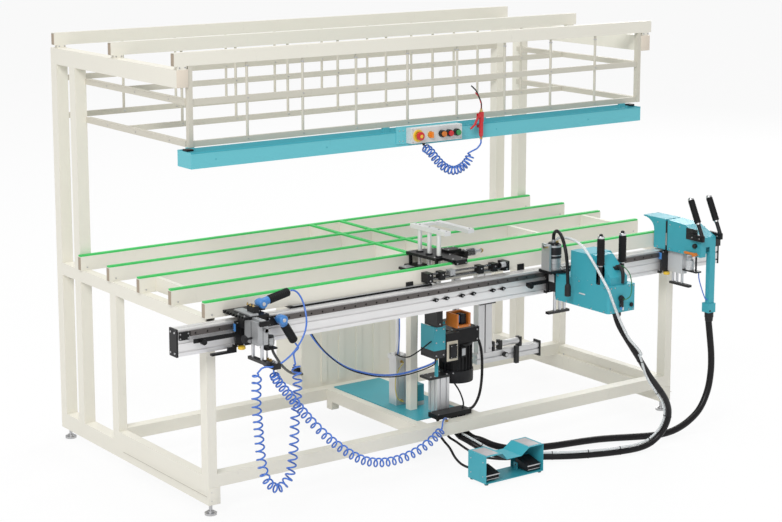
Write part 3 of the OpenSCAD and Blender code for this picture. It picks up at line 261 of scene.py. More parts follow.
class Finish:
    """A procedural surface, built from nodes."""

    def __init__(self, name):
        self.material = bpy.data.materials.new(name)
        self.material.use_nodes = True
        self.tree = self.material.node_tree
        self.tree.nodes.clear()
        self.place = self.node("ShaderNodeTexCoord", out="Object")

    def node(self, kind, settings=(), sockets=(), out=0):
        """A node with its settings made first, then the values or links of its sockets."""
        made = self.tree.nodes.new(kind)
        for key, value in dict(settings).items():
            setattr(made, key, value)
        for key, value in dict(sockets).items():
            socket = made.inputs[key]
            if isinstance(value, Signal):
                self.tree.links.new(value.socket, socket)
            else:
                socket.default_value = value
        return Signal(self, made.outputs[out])

    def grain(self, scale, detail=2.0, stretch=None, rough=0.5):
        """Noise from 0 to 1; scale is in lumps per metre, stretch its factors along X, Y, Z."""
        place = self.place
        if stretch:
            place = self.node("ShaderNodeVectorMath", {"operation": "MULTIPLY"},
                              {0: place, 1: stretch})
        return self.node("ShaderNodeTexNoise", {},
                         {"Vector": place, "Scale": scale, "Detail": detail, "Roughness": rough})

    def blend(self, share, first, second):
        """Colour between first and second."""
        return self.node("ShaderNodeMix", {"data_type": "RGBA"},
                         {"Factor": share, 6: first, 7: second}, out=2)

    def along(self, axis):
        """Coordinate along an axis, in millimetres of the drawing."""
        split = self.node("ShaderNodeSeparateXYZ", {}, {0: self.place}, out=axis)
        return split * 1000.0 - float(PLACE["XYZ".index(axis)] * 1000)

    def within(self, x=None, y=None, z=None):
        """1 inside the spans of the drawing and 0 outside."""
        share = None
        for axis, span in zip("XYZ", (x, y, z)):
            if span is not None:
                value = self.along(axis)
                inside = (value > float(span[0])) * (value < float(span[1]))
                share = inside if share is None else share * inside
        return share

    def patched(self, tone, patches):
        """The tone with each (colour, spans) of the patches over it."""
        for other, spans in patches:
            tone = self.blend(self.within(**spans), tone, other)
        return tone

    def surface(self, colour, rough, height, bump, depth, **extra):
        """Principled surface with a bump, joined to the output."""
        sockets = {"Base Color": colour, "Roughness": rough}
        sockets["Normal"] = self.node("ShaderNodeBump", {}, {
            "Strength": bump, "Distance": depth, "Height": height})
        sockets.update({key.replace("_", " "): value for key, value in extra.items()})
        self.join(self.node("ShaderNodeBsdfPrincipled", {}, sockets))
        return self.material

    def join(self, skin):
        """Joins a shader to the material's output."""
        out = self.tree.nodes.new("ShaderNodeOutputMaterial")
        self.tree.links.new(skin.socket, out.inputs["Surface"])


def rgb(red, green, blue):
    """Colour with full opacity."""
    return (red, green, blue, 1.0)


def shade(colour, factor):
    """The colour made darker or lighter."""
    return rgb(*(min(1.0, c * factor) for c in colour[:3]))


def powder_coat(name, colour, rough=0.42, patches=(), shine=0.42):
    """Baked powder coat: fine orange peel, faint handling marks and dust.
    patches lists (colour, spans) for parts of the node in another colour."""
    finish = Finish(name)
    peel = finish.grain(700.0, 1.0)
    cloud = finish.grain(3.5, 3.0)
    scuff = finish.grain(40.0, 4.0, (1.0, 1.0, 0.25), 0.7)
    marks = (scuff > 0.66) * 0.35
    tone = finish.blend(cloud * 0.35, colour, shade(colour, 0.93))
    tone = finish.blend(marks, tone, shade(colour, 0.88))
    return finish.surface(finish.patched(tone, patches),
                          cloud * 0.10 + marks * 0.12 + (rough - 0.05), peel, 0.12, 0.0004,
                          Specular_IOR_Level=shine)


def metal(name, colour, rough, stretch, streak=0.16, dark=0.82, patches=(), metallic=1.0):
    """Metal with drawn or ground streaks along its length."""
    finish = Finish(name)
    lines = finish.grain(1.0, 4.0, stretch, 0.6)
    cloud = finish.grain(9.0, 3.0)
    tone = finish.blend(lines * 0.5 + cloud * 0.3, colour, shade(colour, dark))
    share = metallic
    for other, spans in patches:
        spot = finish.within(**spans)
        tone = finish.blend(spot, tone, other)
        share = (1.0 - spot) * share
    return finish.surface(tone, lines * streak + cloud * 0.08 + rough, lines, 0.06, 0.0003,
                          Metallic=share)


def moulded(name, colour, rough=0.45, texture=1400.0, bump=0.18, coat=0.0, shine=0.5):
    """Moulded plastic with a fine eroded skin."""
    finish = Finish(name)
    skin = finish.grain(texture, 2.0)
    cloud = finish.grain(14.0, 3.0)
    tone = finish.blend(cloud * 0.45, colour, shade(colour, 0.78))
    return finish.surface(tone, cloud * 0.12 + rough, skin, bump, 0.0003, Coat_Weight=coat,
                          Coat_Roughness=0.12, Specular_IOR_Level=shine)


def gloss(name, colour, rough=0.24, bump=0.04, coat=0.4):
    """Moulded plastic with a polished skin."""
    return moulded(name, colour, rough, 900.0, bump, coat)


def hose_skin(name, colour, rough, sheen=0.0, dusty=0.08, shine=0.5):
    """Extruded tube with a soft gloss, dust and slight colour drift."""
    finish = Finish(name)
    drift = finish.grain(22.0, 3.0)
    dust = finish.grain(160.0, 4.0)
    tone = finish.blend(drift * 0.6, colour, shade(colour, 0.72))
    tone = finish.blend((dust > 0.62) * dusty, tone, rgb(0.55, 0.55, 0.55))
    return finish.surface(tone, drift * 0.12 + dust * 0.06 + rough, dust, 0.08, 0.0004,
                          Coat_Weight=sheen, Coat_Roughness=0.15, Specular_IOR_Level=shine)


def see_through(name, colour, rough, share):
    """Clear plastic, slightly cloudy."""
    finish = Finish(name)
    cloud = finish.grain(60.0, 3.0)
    tone = finish.blend(cloud * 0.4, colour, shade(colour, 0.9))
    return finish.surface(tone, cloud * 0.08 + rough, cloud, 0.04, 0.0003,
                          Transmission_Weight=share, IOR=1.4)


CREAM = rgb(0.79, 0.765, 0.68)
TEAL = rgb(0.045, 0.36, 0.44)
BLACK = rgb(0.010, 0.010, 0.011)
SOOT = rgb(0.020, 0.020, 0.022)
ORANGE = rgb(0.66, 0.20, 0.03)
YELLOW = rgb(0.80, 0.52, 0.04)
BOX_GREY = rgb(0.62, 0.63, 0.63)
UPRIGHT_GREY = rgb(0.80, 0.80, 0.81)
ALONG_X, ALONG_Z = (3.0, 420.0, 420.0), (420.0, 420.0, 3.0)  # run of the drawn streaks

cream_coat = powder_coat("cream_coat", CREAM)
teal_coat = powder_coat("teal_coat", TEAL, 0.40)
rack_coat = powder_coat("rack_coat", rgb(0.60, 0.57, 0.49))
cap_beige = powder_coat("cap_beige", rgb(0.72, 0.64, 0.54), 0.5)
# Dark brown end faces of the rails: painted shade, standing in for the shaded inside of the open
# tubes.
tube_mouth_shade = powder_coat("tube_mouth_shade", rgb(0.38, 0.31, 0.24), 0.6)
plate_grey = powder_coat("plate_grey", rgb(0.44, 0.42, 0.43), 0.4)
tray_paint = powder_coat("tray_paint", rgb(0.13, 0.50, 0.57), 0.40)
seam_shade = powder_coat("seam_shade", rgb(0.40, 0.37, 0.30), 0.6)
grey_coat = powder_coat("grey_coat", BOX_GREY, 0.38)
orange_coat = powder_coat("orange_coat", ORANGE, 0.4)
green_strip = moulded("green_strip", rgb(0.05, 0.58, 0.13), 0.5, 500.0, 0.1)
profile_metal = metal("profile_metal", rgb(0.90, 0.89, 0.89), 0.34, ALONG_X, metallic=0.6)
upright_metal = metal("upright_metal", UPRIGHT_GREY, 0.34, ALONG_Z, metallic=0.75)
rail_steel = metal("rail_steel", rgb(0.16, 0.145, 0.14), 0.34, (4.0, 300.0, 300.0))
ground_rod = metal("ground_rod", rgb(0.72, 0.73, 0.75), 0.16, (500.0, 500.0, 2.0), 0.08)
bright_steel = metal("bright_steel", rgb(0.60, 0.60, 0.61), 0.26, (60.0, 60.0, 60.0))
cast_alu = metal("cast_alu", rgb(0.52, 0.53, 0.54), 0.42, (120.0, 120.0, 120.0), metallic=0.8)
brass = metal("brass", rgb(0.62, 0.45, 0.18), 0.28, (80.0, 80.0, 80.0))
black_steel = powder_coat("black_steel", BLACK, 0.36, shine=0.22)
soot_plastic = moulded("soot_plastic", SOOT, 0.42, shine=0.22)
black_grip = moulded("black_grip", BLACK, 0.52, 500.0, 0.3, shine=0.2)
red_gloss = gloss("red_gloss", rgb(0.56, 0.008, 0.014), 0.22)
yellow_gloss = gloss("yellow_gloss", YELLOW, 0.28, 0.05, 0.2)
amber_gloss = gloss("amber_gloss", rgb(0.62, 0.17, 0.01))
green_gloss = gloss("green_gloss", rgb(0.02, 0.26, 0.07))
blue_plastic = gloss("blue_plastic", rgb(0.06, 0.24, 0.60), 0.3, 0.05, 0.2)
orange_plastic = moulded("orange_plastic", rgb(0.80, 0.24, 0.02), 0.35)
blue_tube = hose_skin("blue_tube", rgb(0.05, 0.17, 0.62), 0.26, 0.4)
black_hose = hose_skin("black_hose", rgb(0.008, 0.007, 0.008), 0.34, 0.12, 0.01, 0.2)
yellow_tube = hose_skin("yellow_tube", rgb(0.62, 0.52, 0.12), 0.35, 0.2)
clear_tube = see_through("clear_tube", rgb(0.80, 0.83, 0.84), 0.22, 0.35)
clear_bowl = see_through("clear_bowl", rgb(0.86, 0.88, 0.89), 0.08, 0.7)


# ---- Hoses and cables ----

CURL_TUBE, CURL = 8.0, 46.0


def curly_line(route, curls, lead_in, lead_out, per_turn=16):
    """Helix of even turns round a smooth route, with plain leads."""
    line = smooth_line(route, 8)
    frames = carried_frames(line)
    steps, last, radius = curls * per_turn, len(line) - 1, (CURL - CURL_TUBE) / 2
    points = [Vector(p) for p in lead_in]
    for k in range(steps + 1):
        s = k / steps * last
        i = min(last - 1, int(s))
        f = s - i
        middle = line[i].lerp(line[i + 1], f)
        ahead = (line[i + 1] - line[i]).normalized()
        side = frames[i].to_3x3().col[0].lerp(frames[i + 1].to_3x3().col[0], f)
        side = (side - side.dot(ahead) * ahead).normalized()
        turn = 2 * math.pi * k / per_turn
        grow = min(1, k / (per_turn / 2), (steps - k) / (per_turn / 2))
        points.append(middle + radius * grow * (math.cos(turn) * side
                                               + math.sin(turn) * ahead.cross(side)))
    return points + [Vector(p) for p in lead_out]


def follow(made):
    """Bakes the piece's placement into its mesh, in the shared frame."""
    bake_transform(made)


def cord(name, points, width, finish, body, node=None,
         sides=12, moves=None):
    """A hose along the points. With moves, the hose is left unattached to its body and baked in
    place; the spans in moves are not used."""
    piece = Piece(name)
    piece.sweep(points, width, finish, sides)
    made = piece.done(None if moves else body, [node] if node else ())
    if moves:
        follow(made)


LOWER_AXIS, UPPER_AXIS = tilted(148, 0), tilted(78, 0)
LOWER_AT, UPPER_AT = Vector((-1122, -897, 900)), Vector((-1208, -867, 980))
LOWER_TIP = LOWER_AT + 138 * LOWER_AXIS
UPPER_TIP = UPPER_AT + 158 * UPPER_AXIS

left_line = curly_line(
    [(-1346, -1056, 724), (-1344, -1044, 650), (-1341, -1040, 560), (-1334, -1040, 480),
     (-1328, -1040, 400), (-1318, -1040, 310), (-1290, -1036, 225), (-1228, -1026, 176),
     (-1166, -1016, 208), (-1141, -1010, 280), (-1128, -1005, 370), (-1119, -1000, 465),
     (-1104, -994, 560), (-1092, -980, 640), (-1082, -950, 700)], 34,
    [(-1274, -1070, 746), (-1284, -1070, 746), (-1296, -1070, 748.5), (-1308, -1070, 750.5),
     (-1320, -1069, 750), (-1330, -1066, 746)],
    smooth_line([(-1076, -932, 722), (-1066, -914, 740), LOWER_TIP + 30 * LOWER_AXIS
                 + Vector((-2, -6, 0)), LOWER_TIP + 12 * LOWER_AXIS, LOWER_TIP], 3))
supply_line = curly_line(
    [(-1262, -1058, 708), (-1246, -1052, 680), (-1206, -1046, 630), (-1157, -1036, 574),
     (-1103, -1025, 512), (-1040, -1010, 444), (-962, -995, 366), (-886, -980, 300),
     (-800, -965, 236), (-712, -950, 184), (-615, -930, 150), (-512, -905, 132),
     (-407, -880, 130), (-300, -850, 142), (-200, -815, 166), (-150, -800, 190)], 36,
    [(-1266, -1062, 732), (-1266, -1062, 723), (-1265, -1061, 716)],
    smooth_line([(-138, -790, 206), (-116, -768, 222), (-84, -742, 222), (-62, -724, 210),
                 (-58, -720, 203), (-58, -720, 195)], 4))
gun_line = curly_line(
    [(-158, -668, 1552), (-128, -668, 1532), (-88, -668, 1488), (-42, -668, 1448),
     (10, -668, 1426), (56, -668, 1432), (96, -668, 1456), (118, -668, 1490)], 18,
    [(-164, -667, 1576.5), (-164, -667, 1567)],
    smooth_line([(96, -676, 1502), (122, -678, 1512), (150, -676, 1520), (172, -672, 1534),
                 (183, -668, 1546), (184, -667, 1554), (184, -667, 1563)], 4))

cord("left_coil", left_line, CURL_TUBE, blue_tube, "left_head", "left_hose")
cord("supply_coil", supply_line, CURL_TUBE, blue_tube, "left_head", "supply_hose",
     moves=((-1230, 0, 0), (-150, 0, 0)))
cord("gun_coil", gun_line, CURL_TUBE, blue_tube, "machine", "gun_hose")
cord("driver_tube", smooth_line([
    UPPER_TIP, UPPER_TIP + 10 * UPPER_AXIS, UPPER_TIP + Vector((24, -4, -2)), (-1014, -876, 996),
    (-1004, -892, 966), (-1004, -916, 920), (-1018, -944, 872), (-1050, -972, 834),
    (-1096, -1000, 800), (-1150, -1026, 772), (-1202, -1044, 753), (-1226, -1050, 747),
    (-1238, -1051, 746)]), CURL_TUBE, blue_tube, "left_head", "driver_hose")

right_line = smooth_line([
    (527, -1285, 773), (527, -1285, 744), (544, -1300, 690), (610, -1307, 594),
    (678, -1302, 508), (744, -1294, 426), (816, -1286, 348), (878, -1274, 278), (920, -1254, 208),
    (932, -1232, 142), (912, -1208, 78), (860, -1190, 34), (790, -1178, 18), (700, -1164, 16),
    (625, -1146, 16), (555, -1122, 16), (490, -1096, 16), (425, -1064, 16), (350, -1018, 16),
    (280, -974, 17), (215, -934, 19), (150, -888, 26), (100, -842, 42), (62, -790, 72),
    (46, -746, 88), (34, -706, 100), (29, -678, 122), (28, -664, 150), (28, -661, 180),
    (28, -661, 200)])
far_line = smooth_line([
    (1341.5, -1095, 620), (1341.5, -1095, 580), (1356, -1096, 480), (1364, -1100, 390),
    (1362, -1102, 300), (1340, -1104, 205), (1288, -1104, 118), (1210, -1102, 64),
    (1124, -1098, 34), (1044, -1088, 23), (980, -1072, 22), (915, -1046, 22), (850, -1016, 22),
    (785, -986, 22), (715, -960, 22), (640, -942, 22), (565, -928, 22), (480, -912, 22),
    (400, -890, 22), (320, -865, 24), (240, -832, 32), (172, -800, 52), (122, -764, 78),
    (98, -736, 86), (88, -704, 98), (80, -676, 122), (78, -663, 150), (78, -661, 180),
    (78, -661, 200)])
RIGHT_MOVES = (700, 0, 16), (471, 0, -213)  # two points on the floor run; only their presence is used
cord("right_conduit", right_line, 29, black_hose, "right_head", "right_hose",
     20, RIGHT_MOVES)
cord("far_conduit", far_line, 34, black_hose, "far_head", "far_hose", 20,
     ((1290, 0, 0), (300, 0, 0)))
cord("clear_hose", smooth_line([
    (470, -911, 1058), (470, -911, 1072), (467, -936, 1086), (460, -1000, 1094),
    (448, -1060, 1095), (439, -1120, 1084), (430, -1180, 1054), (421, -1240, 1011),
    (419, -1290, 962), (425, -1334, 906), (442, -1350, 846), (470, -1356, 780),
    (508, -1356, 712), (552, -1352, 650), (590, -1352, 612), (622, -1350, 580),
    (640, -1342, 560), (644, -1330, 552), (644.6, -1321.4, 550.5)]), 13, clear_tube,
    "right_head", "air_hose")


def alongside(line, first, gap, ways):
    """Points beside a line from one index on; ways lists (share of the run, direction)."""
    points, last = [], len(line) - 1
    for i in range(first, last + 1):
        share = (i - first) / (last - first)
        (low, before), (high, after) = next(
            pair for pair in zip(ways, ways[1:]) if share <= pair[1][0])
        way = Vector(before).lerp(Vector(after), (share - low) / (high - low))
        ahead = (line[min(i + 1, last)] - line[max(i - 1, 0)]).normalized()
        points.append(line[i] + gap * (way - way.dot(ahead) * ahead).normalized())
    return points


STRAP_TOP, STRAP_GAP = 552, 21.2
below = next(i for i, p in enumerate(right_line) if p.z < STRAP_TOP)
strapped_line = alongside(right_line, below, STRAP_GAP, (
    (0, FRONT), (0.05, (-1, -0.4, -0.45)), (0.12, (-1, 0.6, -0.3)), (0.2, (-0.3, 1, 0)),
    (0.3, (-0.5, 0.6, 0.6)), (0.4, UP), (0.85, UP), (1, LEFT)))
cord("strapped_tube", strapped_line, 12, clear_tube, "right_head",
     moves=RIGHT_MOVES)
ties = Piece("tube_ties")
TIE_WIDTH, TIE_STEP = 4, 14  # in millimetres, and in points of the line
for i in range(2, len(strapped_line) - 20, TIE_STEP):
    for line, k, width, sides in ((strapped_line, i, 14.4, 14), (right_line, below + i, 31, 20)):
        ahead = (line[k + 1] - line[k]).normalized()
        ties.sweep([line[k], line[k] + TIE_WIDTH * ahead], width, black_hose, sides)
follow(ties.done())

cord("elbow_pipe", smooth_line([
    (453, -905, 1072), (453, -905, 1092), (449, -919, 1112), (441, -945, 1122),
    (433, -977, 1114), (423, -1011, 1086), (416, -1039, 1038), (412, -1055, 978),
    (411, -1061, 918), (411, -1063, 884)]), 17, black_hose, "right_head", "elbow_hose",
    16)
cord("sag_tube", smooth_line([
    (-544, -150, 917), (-544, -150, 901), (-542, -152, 812), (-520, -152, 688), (-484, -150, 592),
    (-416, -190, 486), (-329, -240, 408), (-236, -300, 372), (-186, -400, 377), (-147, -500, 405),
    (-92, -570, 440), (-54, -604, 464), (-41, -610, 479), (-40, -610, 490)], 8), 10, blue_tube,
    "machine", "bundle_hose")
cord("switch_cable_left", smooth_line([
    (-98, -990, 34), (-98, -976, 34), (-100, -930, 30), (-98, -880, 34), (-92, -830, 50),
    (-84, -780, 80), (-76, -722, 100), (-70, -684, 118), (-68, -666, 150), (-68, -661, 186),
    (-68, -661, 200)]), 12, black_hose, "machine", "switch_cables")
cord("switch_cable_right", smooth_line([
    (154, -990, 34), (154, -976, 34), (130, -940, 26), (84, -900, 28), (36, -856, 38),
    (0, -806, 66), (-18, -742, 92), (-26, -700, 104), (-28, -676, 128), (-28, -663, 158),
    (-28, -661, 184), (-28, -661, 200)]), 12, black_hose, "machine", "switch_cables")
cord("tied_cable", smooth_line([
    (-534, -158, 917), (-534, -158, 901), (-533, -160, 812), (-511, -160, 684), (-475, -158, 584),
    (-409, -198, 477), (-324, -248, 400), (-233, -308, 364), (-182, -408, 369),
    (-143, -508, 397), (-90, -578, 432), (-56, -613, 458), (-51, -619, 476), (-50, -619, 489.8)],
    6), 6, black_hose, "machine", sides=10)
cord("cabinet_lead", smooth_line([
    (-1104, -795, 787.8), (-1104, -793, 772), (-1088, -772, 724), (-1018, -700, 657),
    (-928, -600, 588), (-799, -450, 508), (-637, -250, 424), (-479, -50, 352), (-385, 70, 308),
    (-352, 130, 295), (-343, 168, 292)]), 13, black_hose, "machine")
cord("motor_cable", smooth_line([
    (238.6, -550, 545), (252, -550, 545), (272, -554, 514), (284, -560, 456), (284, -566, 380),
    (274, -574, 310), (248, -592, 256), (206, -620, 226), (160, -648, 213), (134, -655, 212),
    (118.4, -655, 212)]), 14, black_hose, "motor", "bundle_hose",
    moves=((0, 0, 520), (0, 0, 230)))


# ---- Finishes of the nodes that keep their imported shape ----

def patch(colour, **spans):
    """Part of a node in another colour, over spans of the drawing."""
    return colour, spans


def piston_metal(name, low, high):
    """Bright piston rods with one black ring."""
    return metal(name, rgb(0.66, 0.67, 0.69), 0.2, (400.0, 400.0, 3.0), 0.1,
                 patches=[patch(BLACK, z=(low, high))])


BOX_FACE, SIDE_FACE, SIDE_TOP = (-712, -689.3), (-501, -480.1), (421.1, 471)
NODE_FINISHES = (
    (cream_coat, "main_frame bench_frame table_rails overhead_frame rear_cabinet"),
    (rack_coat, "rack"),
    (green_strip, "slide_strips"),
    (tray_paint, "tray"),
    (powder_coat("tray_teal", TEAL, 0.36, [
        patch(rgb(0.50, 0.51, 0.5), x=(-42, 22), y=(-432, -374), z=(91, 220))]), "base_tray"),
    (powder_coat("box_grey", BOX_GREY, 0.38, [
        patch(BLACK, x=(-95, 35), y=BOX_FACE), patch(YELLOW, x=(-250, -125), y=BOX_FACE)]),
     "control_box"),
    (profile_metal, "beam centre_clamp"),
    (rail_steel, "guide_rail"),
    (metal("column_metal", UPRIGHT_GREY, 0.34, ALONG_Z, metallic=0.75,
           patches=[patch(BLACK, z=(375.8, 389))]), "router_column"),
    (powder_coat("motor_black", BLACK, 0.40, shine=0.22), "router_motor"),
    (powder_coat("bracket_teal", TEAL, 0.4, [
        patch(ORANGE, x=(20, 112), y=(-692, -603.5)),
        patch(BLACK, x=(-24, 101), y=(-603.9, -559), z=(651, 665)),
        patch(BLACK, x=(-61, -23), z=(650.2, 918)), patch(SOOT, z=(489, 530))]),
     "router_bracket"),
    (bright_steel, "levelling_feet router_spindle"),
    (upright_metal, "clamp_cylinder"),
    (metal("side_metal", rgb(0.78, 0.78, 0.79), 0.34, ALONG_X, metallic=0.75, patches=[
        patch(BLACK, x=(729.9, 739)), patch(BLACK, x=(559, 581), y=SIDE_FACE),
        patch(BLACK, x=(469, 487), z=SIDE_TOP), patch(BLACK, x=(599, 617), z=SIDE_TOP),
        patch(BLACK, x=(424, 438), z=SIDE_TOP), patch(BLACK, x=(480, 514), y=SIDE_FACE),
        patch(BLACK, z=(679.8, 692.2))]), "side_profile"),
    (black_steel, "fittings centre_deck stop_frame left_carriage right_carriage"),
    (cast_alu, "stop_slider left_cylinder"),
    (piston_metal("foot_left", 749, 764.5), "left_foot"),
    (piston_metal("foot_right", 695, 708.5), "right_foot"),
    (piston_metal("foot_far", 735, 748.5), "far_foot"),
    (powder_coat("hood_teal", TEAL, 0.40, [
        patch(BLACK, x=(540, 572), y=(-1275, -1236), z=(970, 1002))]), "right_hood"),
    (metal("driver_grey", rgb(0.60, 0.61, 0.62), 0.34, (90.0, 90.0, 90.0), metallic=0.8,
           patches=[patch(BLACK, z=(911, 926.1))]), "right_driver"),
    (powder_coat("far_carriage_coat", BLACK, 0.36, [
        patch(rgb(0.56, 0.57, 0.58), x=(1276, 1312), y=(-962, -857.2), z=(801, 913)),
        patch(rgb(0.60, 0.61, 0.62), x=(1274, 1318), y=(-1020, -974), z=(830.1, 900))]),
     "far_carriage"),
    (powder_coat("far_teal", TEAL, 0.40, [
        patch(BLACK, x=(1264, 1350), y=(-872, -856), z=(900, 1068)),
        patch(BLACK, x=(1370, 1410)), patch(BLACK, x=(1240, 1254.9)),
        patch(SOOT, x=(1327, 1356), y=(-1108, -1088), z=(600, 656))]), "far_housing"),
    (black_grip, "far_grips right_grips"),
    (teal_coat, "foot_switch right_housing"),
    (red_gloss, "gun_trigger emergency_stop red_button blow_gun"),
    (orange_plastic, "selector_knob"),
    (amber_gloss, "amber_button"),
    (green_gloss, "green_button"),
    (powder_coat("filter_coat", BLACK, 0.36, [
        patch(rgb(0.62, 0.63, 0.64), x=(-1262, -1214), y=(-1014, -965), z=(812, 856))]),
     "left_filter"),
    (soot_plastic, "left_knob drivers left_pedal right_pedal"),
)
for finish, names in NODE_FINISHES:
    for node in names.split():
        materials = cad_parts[node].data.materials
        materials.clear()
        materials.append(finish)


# ---- Room: floor, sky and lamps ----

WHITE = rgb(1, 1, 1)
FLOOR_HALF, FLOOR_DROP, SKY_LIGHT = 40, 0.0005, 0.55


def lay_floor():
    """Plain pale floor, white to the camera but for the shadow on it."""
    finish = Finish("floor_white")
    seen = finish.node("ShaderNodeLightPath", out="Is Camera Ray")
    seen = seen + finish.node("ShaderNodeLightPath", out="Is Glossy Ray") * 0.5
    matt = finish.node("ShaderNodeBsdfDiffuse", {}, {"Color": rgb(0.82, 0.82, 0.82)})
    glow = finish.node("ShaderNodeEmission", {}, {"Color": WHITE, "Strength": 1.0})
    finish.join(finish.node("ShaderNodeMixShader", {}, {0: seen * 0.9, 1: matt, 2: glow}))
    bm = bmesh.new()
    bmesh.ops.create_grid(bm, x_segments=1, y_segments=1, size=FLOOR_HALF)
    mesh = bpy.data.meshes.new("floor")
    bm.to_mesh(mesh)
    bm.free()
    mesh.materials.append(finish.material)
    floor = bpy.data.objects.new("floor", mesh)
    floor.location.z = -FLOOR_DROP
    scene.collection.objects.link(floor)


def light_sky():
    """Soft light from all sides, white where the camera sees it."""
    world = bpy.data.worlds.new("studio")
    world.use_nodes = True
    scene.world = world
    nodes, links = world.node_tree.nodes, world.node_tree.links
    sky, white = nodes["Background"], nodes.new("ShaderNodeBackground")
    for light, strength in ((sky, SKY_LIGHT), (white, 1.0)):
        light.inputs["Color"].default_value = WHITE
        light.inputs["Strength"].default_value = strength
    ray, mix = nodes.new("ShaderNodeLightPath"), nodes.new("ShaderNodeMixShader")
    either = nodes.new("ShaderNodeMath")
    either.operation, either.use_clamp = "ADD", True
    for out, into in ((ray.outputs["Is Camera Ray"], either.inputs[0]),
                      (ray.outputs["Is Transmission Ray"], either.inputs[1]),
                      (either.outputs[0], mix.inputs[0]), (sky.outputs[0], mix.inputs[1]),
                      (white.outputs[0], mix.inputs[2]),
                      (mix.outputs[0], nodes["World Output"].inputs["Surface"])):
        links.new(out, into)


def hang_lamp(name, place, aim, size, power):
    """Round soft lamp at a place, turned towards a height over the origin."""
    data = bpy.data.lights.new(name, "AREA")
    data.shape, data.size, data.energy = "DISK", size, power
    light = bpy.data.objects.new(name, data)
    light.location = place
    aside = Vector((0, 0, aim)) - Vector(place)
    light.rotation_euler = aside.to_track_quat("-Z", "Y").to_euler()
    scene.collection.objects.link(light)


lay_floor()
light_sky()
hang_lamp("key", (-10.0, -8.0, 10.0), 0.8, 6.0, 1170)
hang_lamp("side", (9.0, 5.0, 6.0), 0.8, 5.0, 440)
hang_lamp("top", (0, 0.5, 12.0), 1.0, 7.0, 470)


# ---- Left head ----

def ribs(start, stop, count, radius, groove):
    """Outline of a ribbed grip between two heights."""
    step = (stop - start) / count
    made = []
    for i in range(count):
        low = start + i * step
        made += [(low + step * 0.15, radius), (low + step * 0.62, radius),
                 (low + step * 0.72, radius - groove), (low + step * 0.95, radius - groove)]
    return made


def angle_driver(piece, foot, along, head, grip):
    """Pneumatic screwdriver: blue head across, ribbed grip and inlet along its axis."""
    piece.lathe(foot + Vector((0, -30, 0)), BACK, [
        (0, 12), (1, 14), (1, 18), (4, 21.5), (7, 22), (38, 22), (42, 20.5), (46, 17),
        (54, 16)], blue_plastic, 36)
    piece.lathe(foot + Vector((0, -31.5, 0)), BACK, [(0, 8), (1.5, 9), (1.6, 0)],
                bright_steel, 20)
    piece.lathe(foot + Vector((0, 24, 0)), BACK, [(0, 9), (10, 9), (11, 7.5), (16, 7.5)],
                bright_steel, 20)
    piece.lathe(foot, along, [(0, 16), (head * 0.55, 18), (head - 3, 18), (head, 16.5)],
                blue_plastic, 36)
    piece.lathe(foot + head * along, along, [
        (0, 17.5), (3, 19.6), *ribs(4, grip - 8, 10, 20, 1.4), (grip - 6, 20), (grip - 1, 17),
        (grip, 15)], black_grip, 36)
    piece.lathe(foot + (head + grip) * along, along, [
        (0, 8), (4, 8), (4.5, 7), (6, 7), (6.5, 5.4), (8, 5.4)], bright_steel, 20)


drivers = Piece("driver_pair")
angle_driver(drivers, UPPER_AT, UPPER_AXIS, 42, 108)
angle_driver(drivers, LOWER_AT, LOWER_AXIS, 34, 96)
drivers.block((-1226, -1190), (-877, -849), (948, 964), black_steel, 1)
drivers.block((-1257.9, -1226), (-873, -851), (952, 964), black_steel, 1)
drivers.block((-1174, -1110), (-871, -859), (868, 912), black_steel, 1.2)
drivers.disc((-1180, -866, 888), RIGHT, 12, 4.5, bright_steel)
drivers.screws(-1166, -871, (904, 876), FRONT, 3.4)
drivers.screws(-1140, -871, 904, FRONT, 3.4)
drivers.screws(-1220, -863, 964, UP, 3.4)
drivers.done("left_head", ["drivers"])

BOWL = (-1238, -989)  # X and Y of the filter bowl
filter_unit = Piece("air_filter")
filter_unit.block((-1268, -1210), (-1007, -953), (802, 810), black_steel)
filter_unit.block((-1263.7, -1254), (-1007, -969), (810, 850), black_steel)
for height, outline, finish, steps in (
        (810, [(0, 13), (8, 13)], black_steel, 24),
        (818, [(0, 11), (1.5, 16), (5, 19), (12, 20), (36, 20)], clear_bowl, 36),
        (822, [(0, 6), (2, 9), (26, 9), (29, 5), (31, 0)], cast_alu, 20),
        (854, [(0, 17), (2, 17), (2.5, 15.5), (7, 15.5), (7.5, 17), (9, 17), (10, 15.5)],
         soot_plastic, 36)):
    filter_unit.lathe((*BOWL, height), UP, outline, finish, steps)
filter_unit.disc((-1258, -997, 758), UP, 44, 4, bright_steel)
filter_unit.block((-1274, -1238), (-1079, -989), (732, 758), soot_plastic, 1.5)
for y in (-1066, -1044, -1022, -1000):
    filter_unit.lathe((-1256, y, 758), UP, [(0, 8), (2, 8), (3, 6.5), (9, 6.5), (10, 5)],
                      brass if y > -1030 else bright_steel, 6)
filter_unit.done("left_head", ["left_filter"])

left = Piece("left_head_parts")
left.screws((-1322, -1290, -1210, -1178), -857, (802, 905), FRONT, 3.6)
left.screws((-1330, -1225), (-930, -880), 948, UP, 4)
left.screws(-1275, -800, 948, UP, 4)
left.screws((-1308, -1272), -1017, (845, 918), FRONT, 3.4)
left.block((-1250, -1240), (-962, -930), (846, 862), cast_alu, 1)
left.lathe((-1280, -1017, 898), FRONT, [(0, 9), (3, 9), (3, 7), (10, 7), (12, 9), (16, 9)],
           brass, 20)
left.disc((-1308, -868, 799), DOWN, 13, 17, yellow_gloss, 2)
left.block((-1334, -1328), (-856, -840), (866, 900), blue_plastic)
left.block((-1170, -1164), (-856, -832), (866, 900), blue_plastic)
for y in (-930, -906, -882):
    left.lathe((-1284, y, 986), UP, [(0, 5), (3, 5), (4, 3.4), (10, 3.4)], brass, 12)
left.block((-1302, -1278), (-1024, -947.4), (934.2, 944), cast_alu, 1.5)
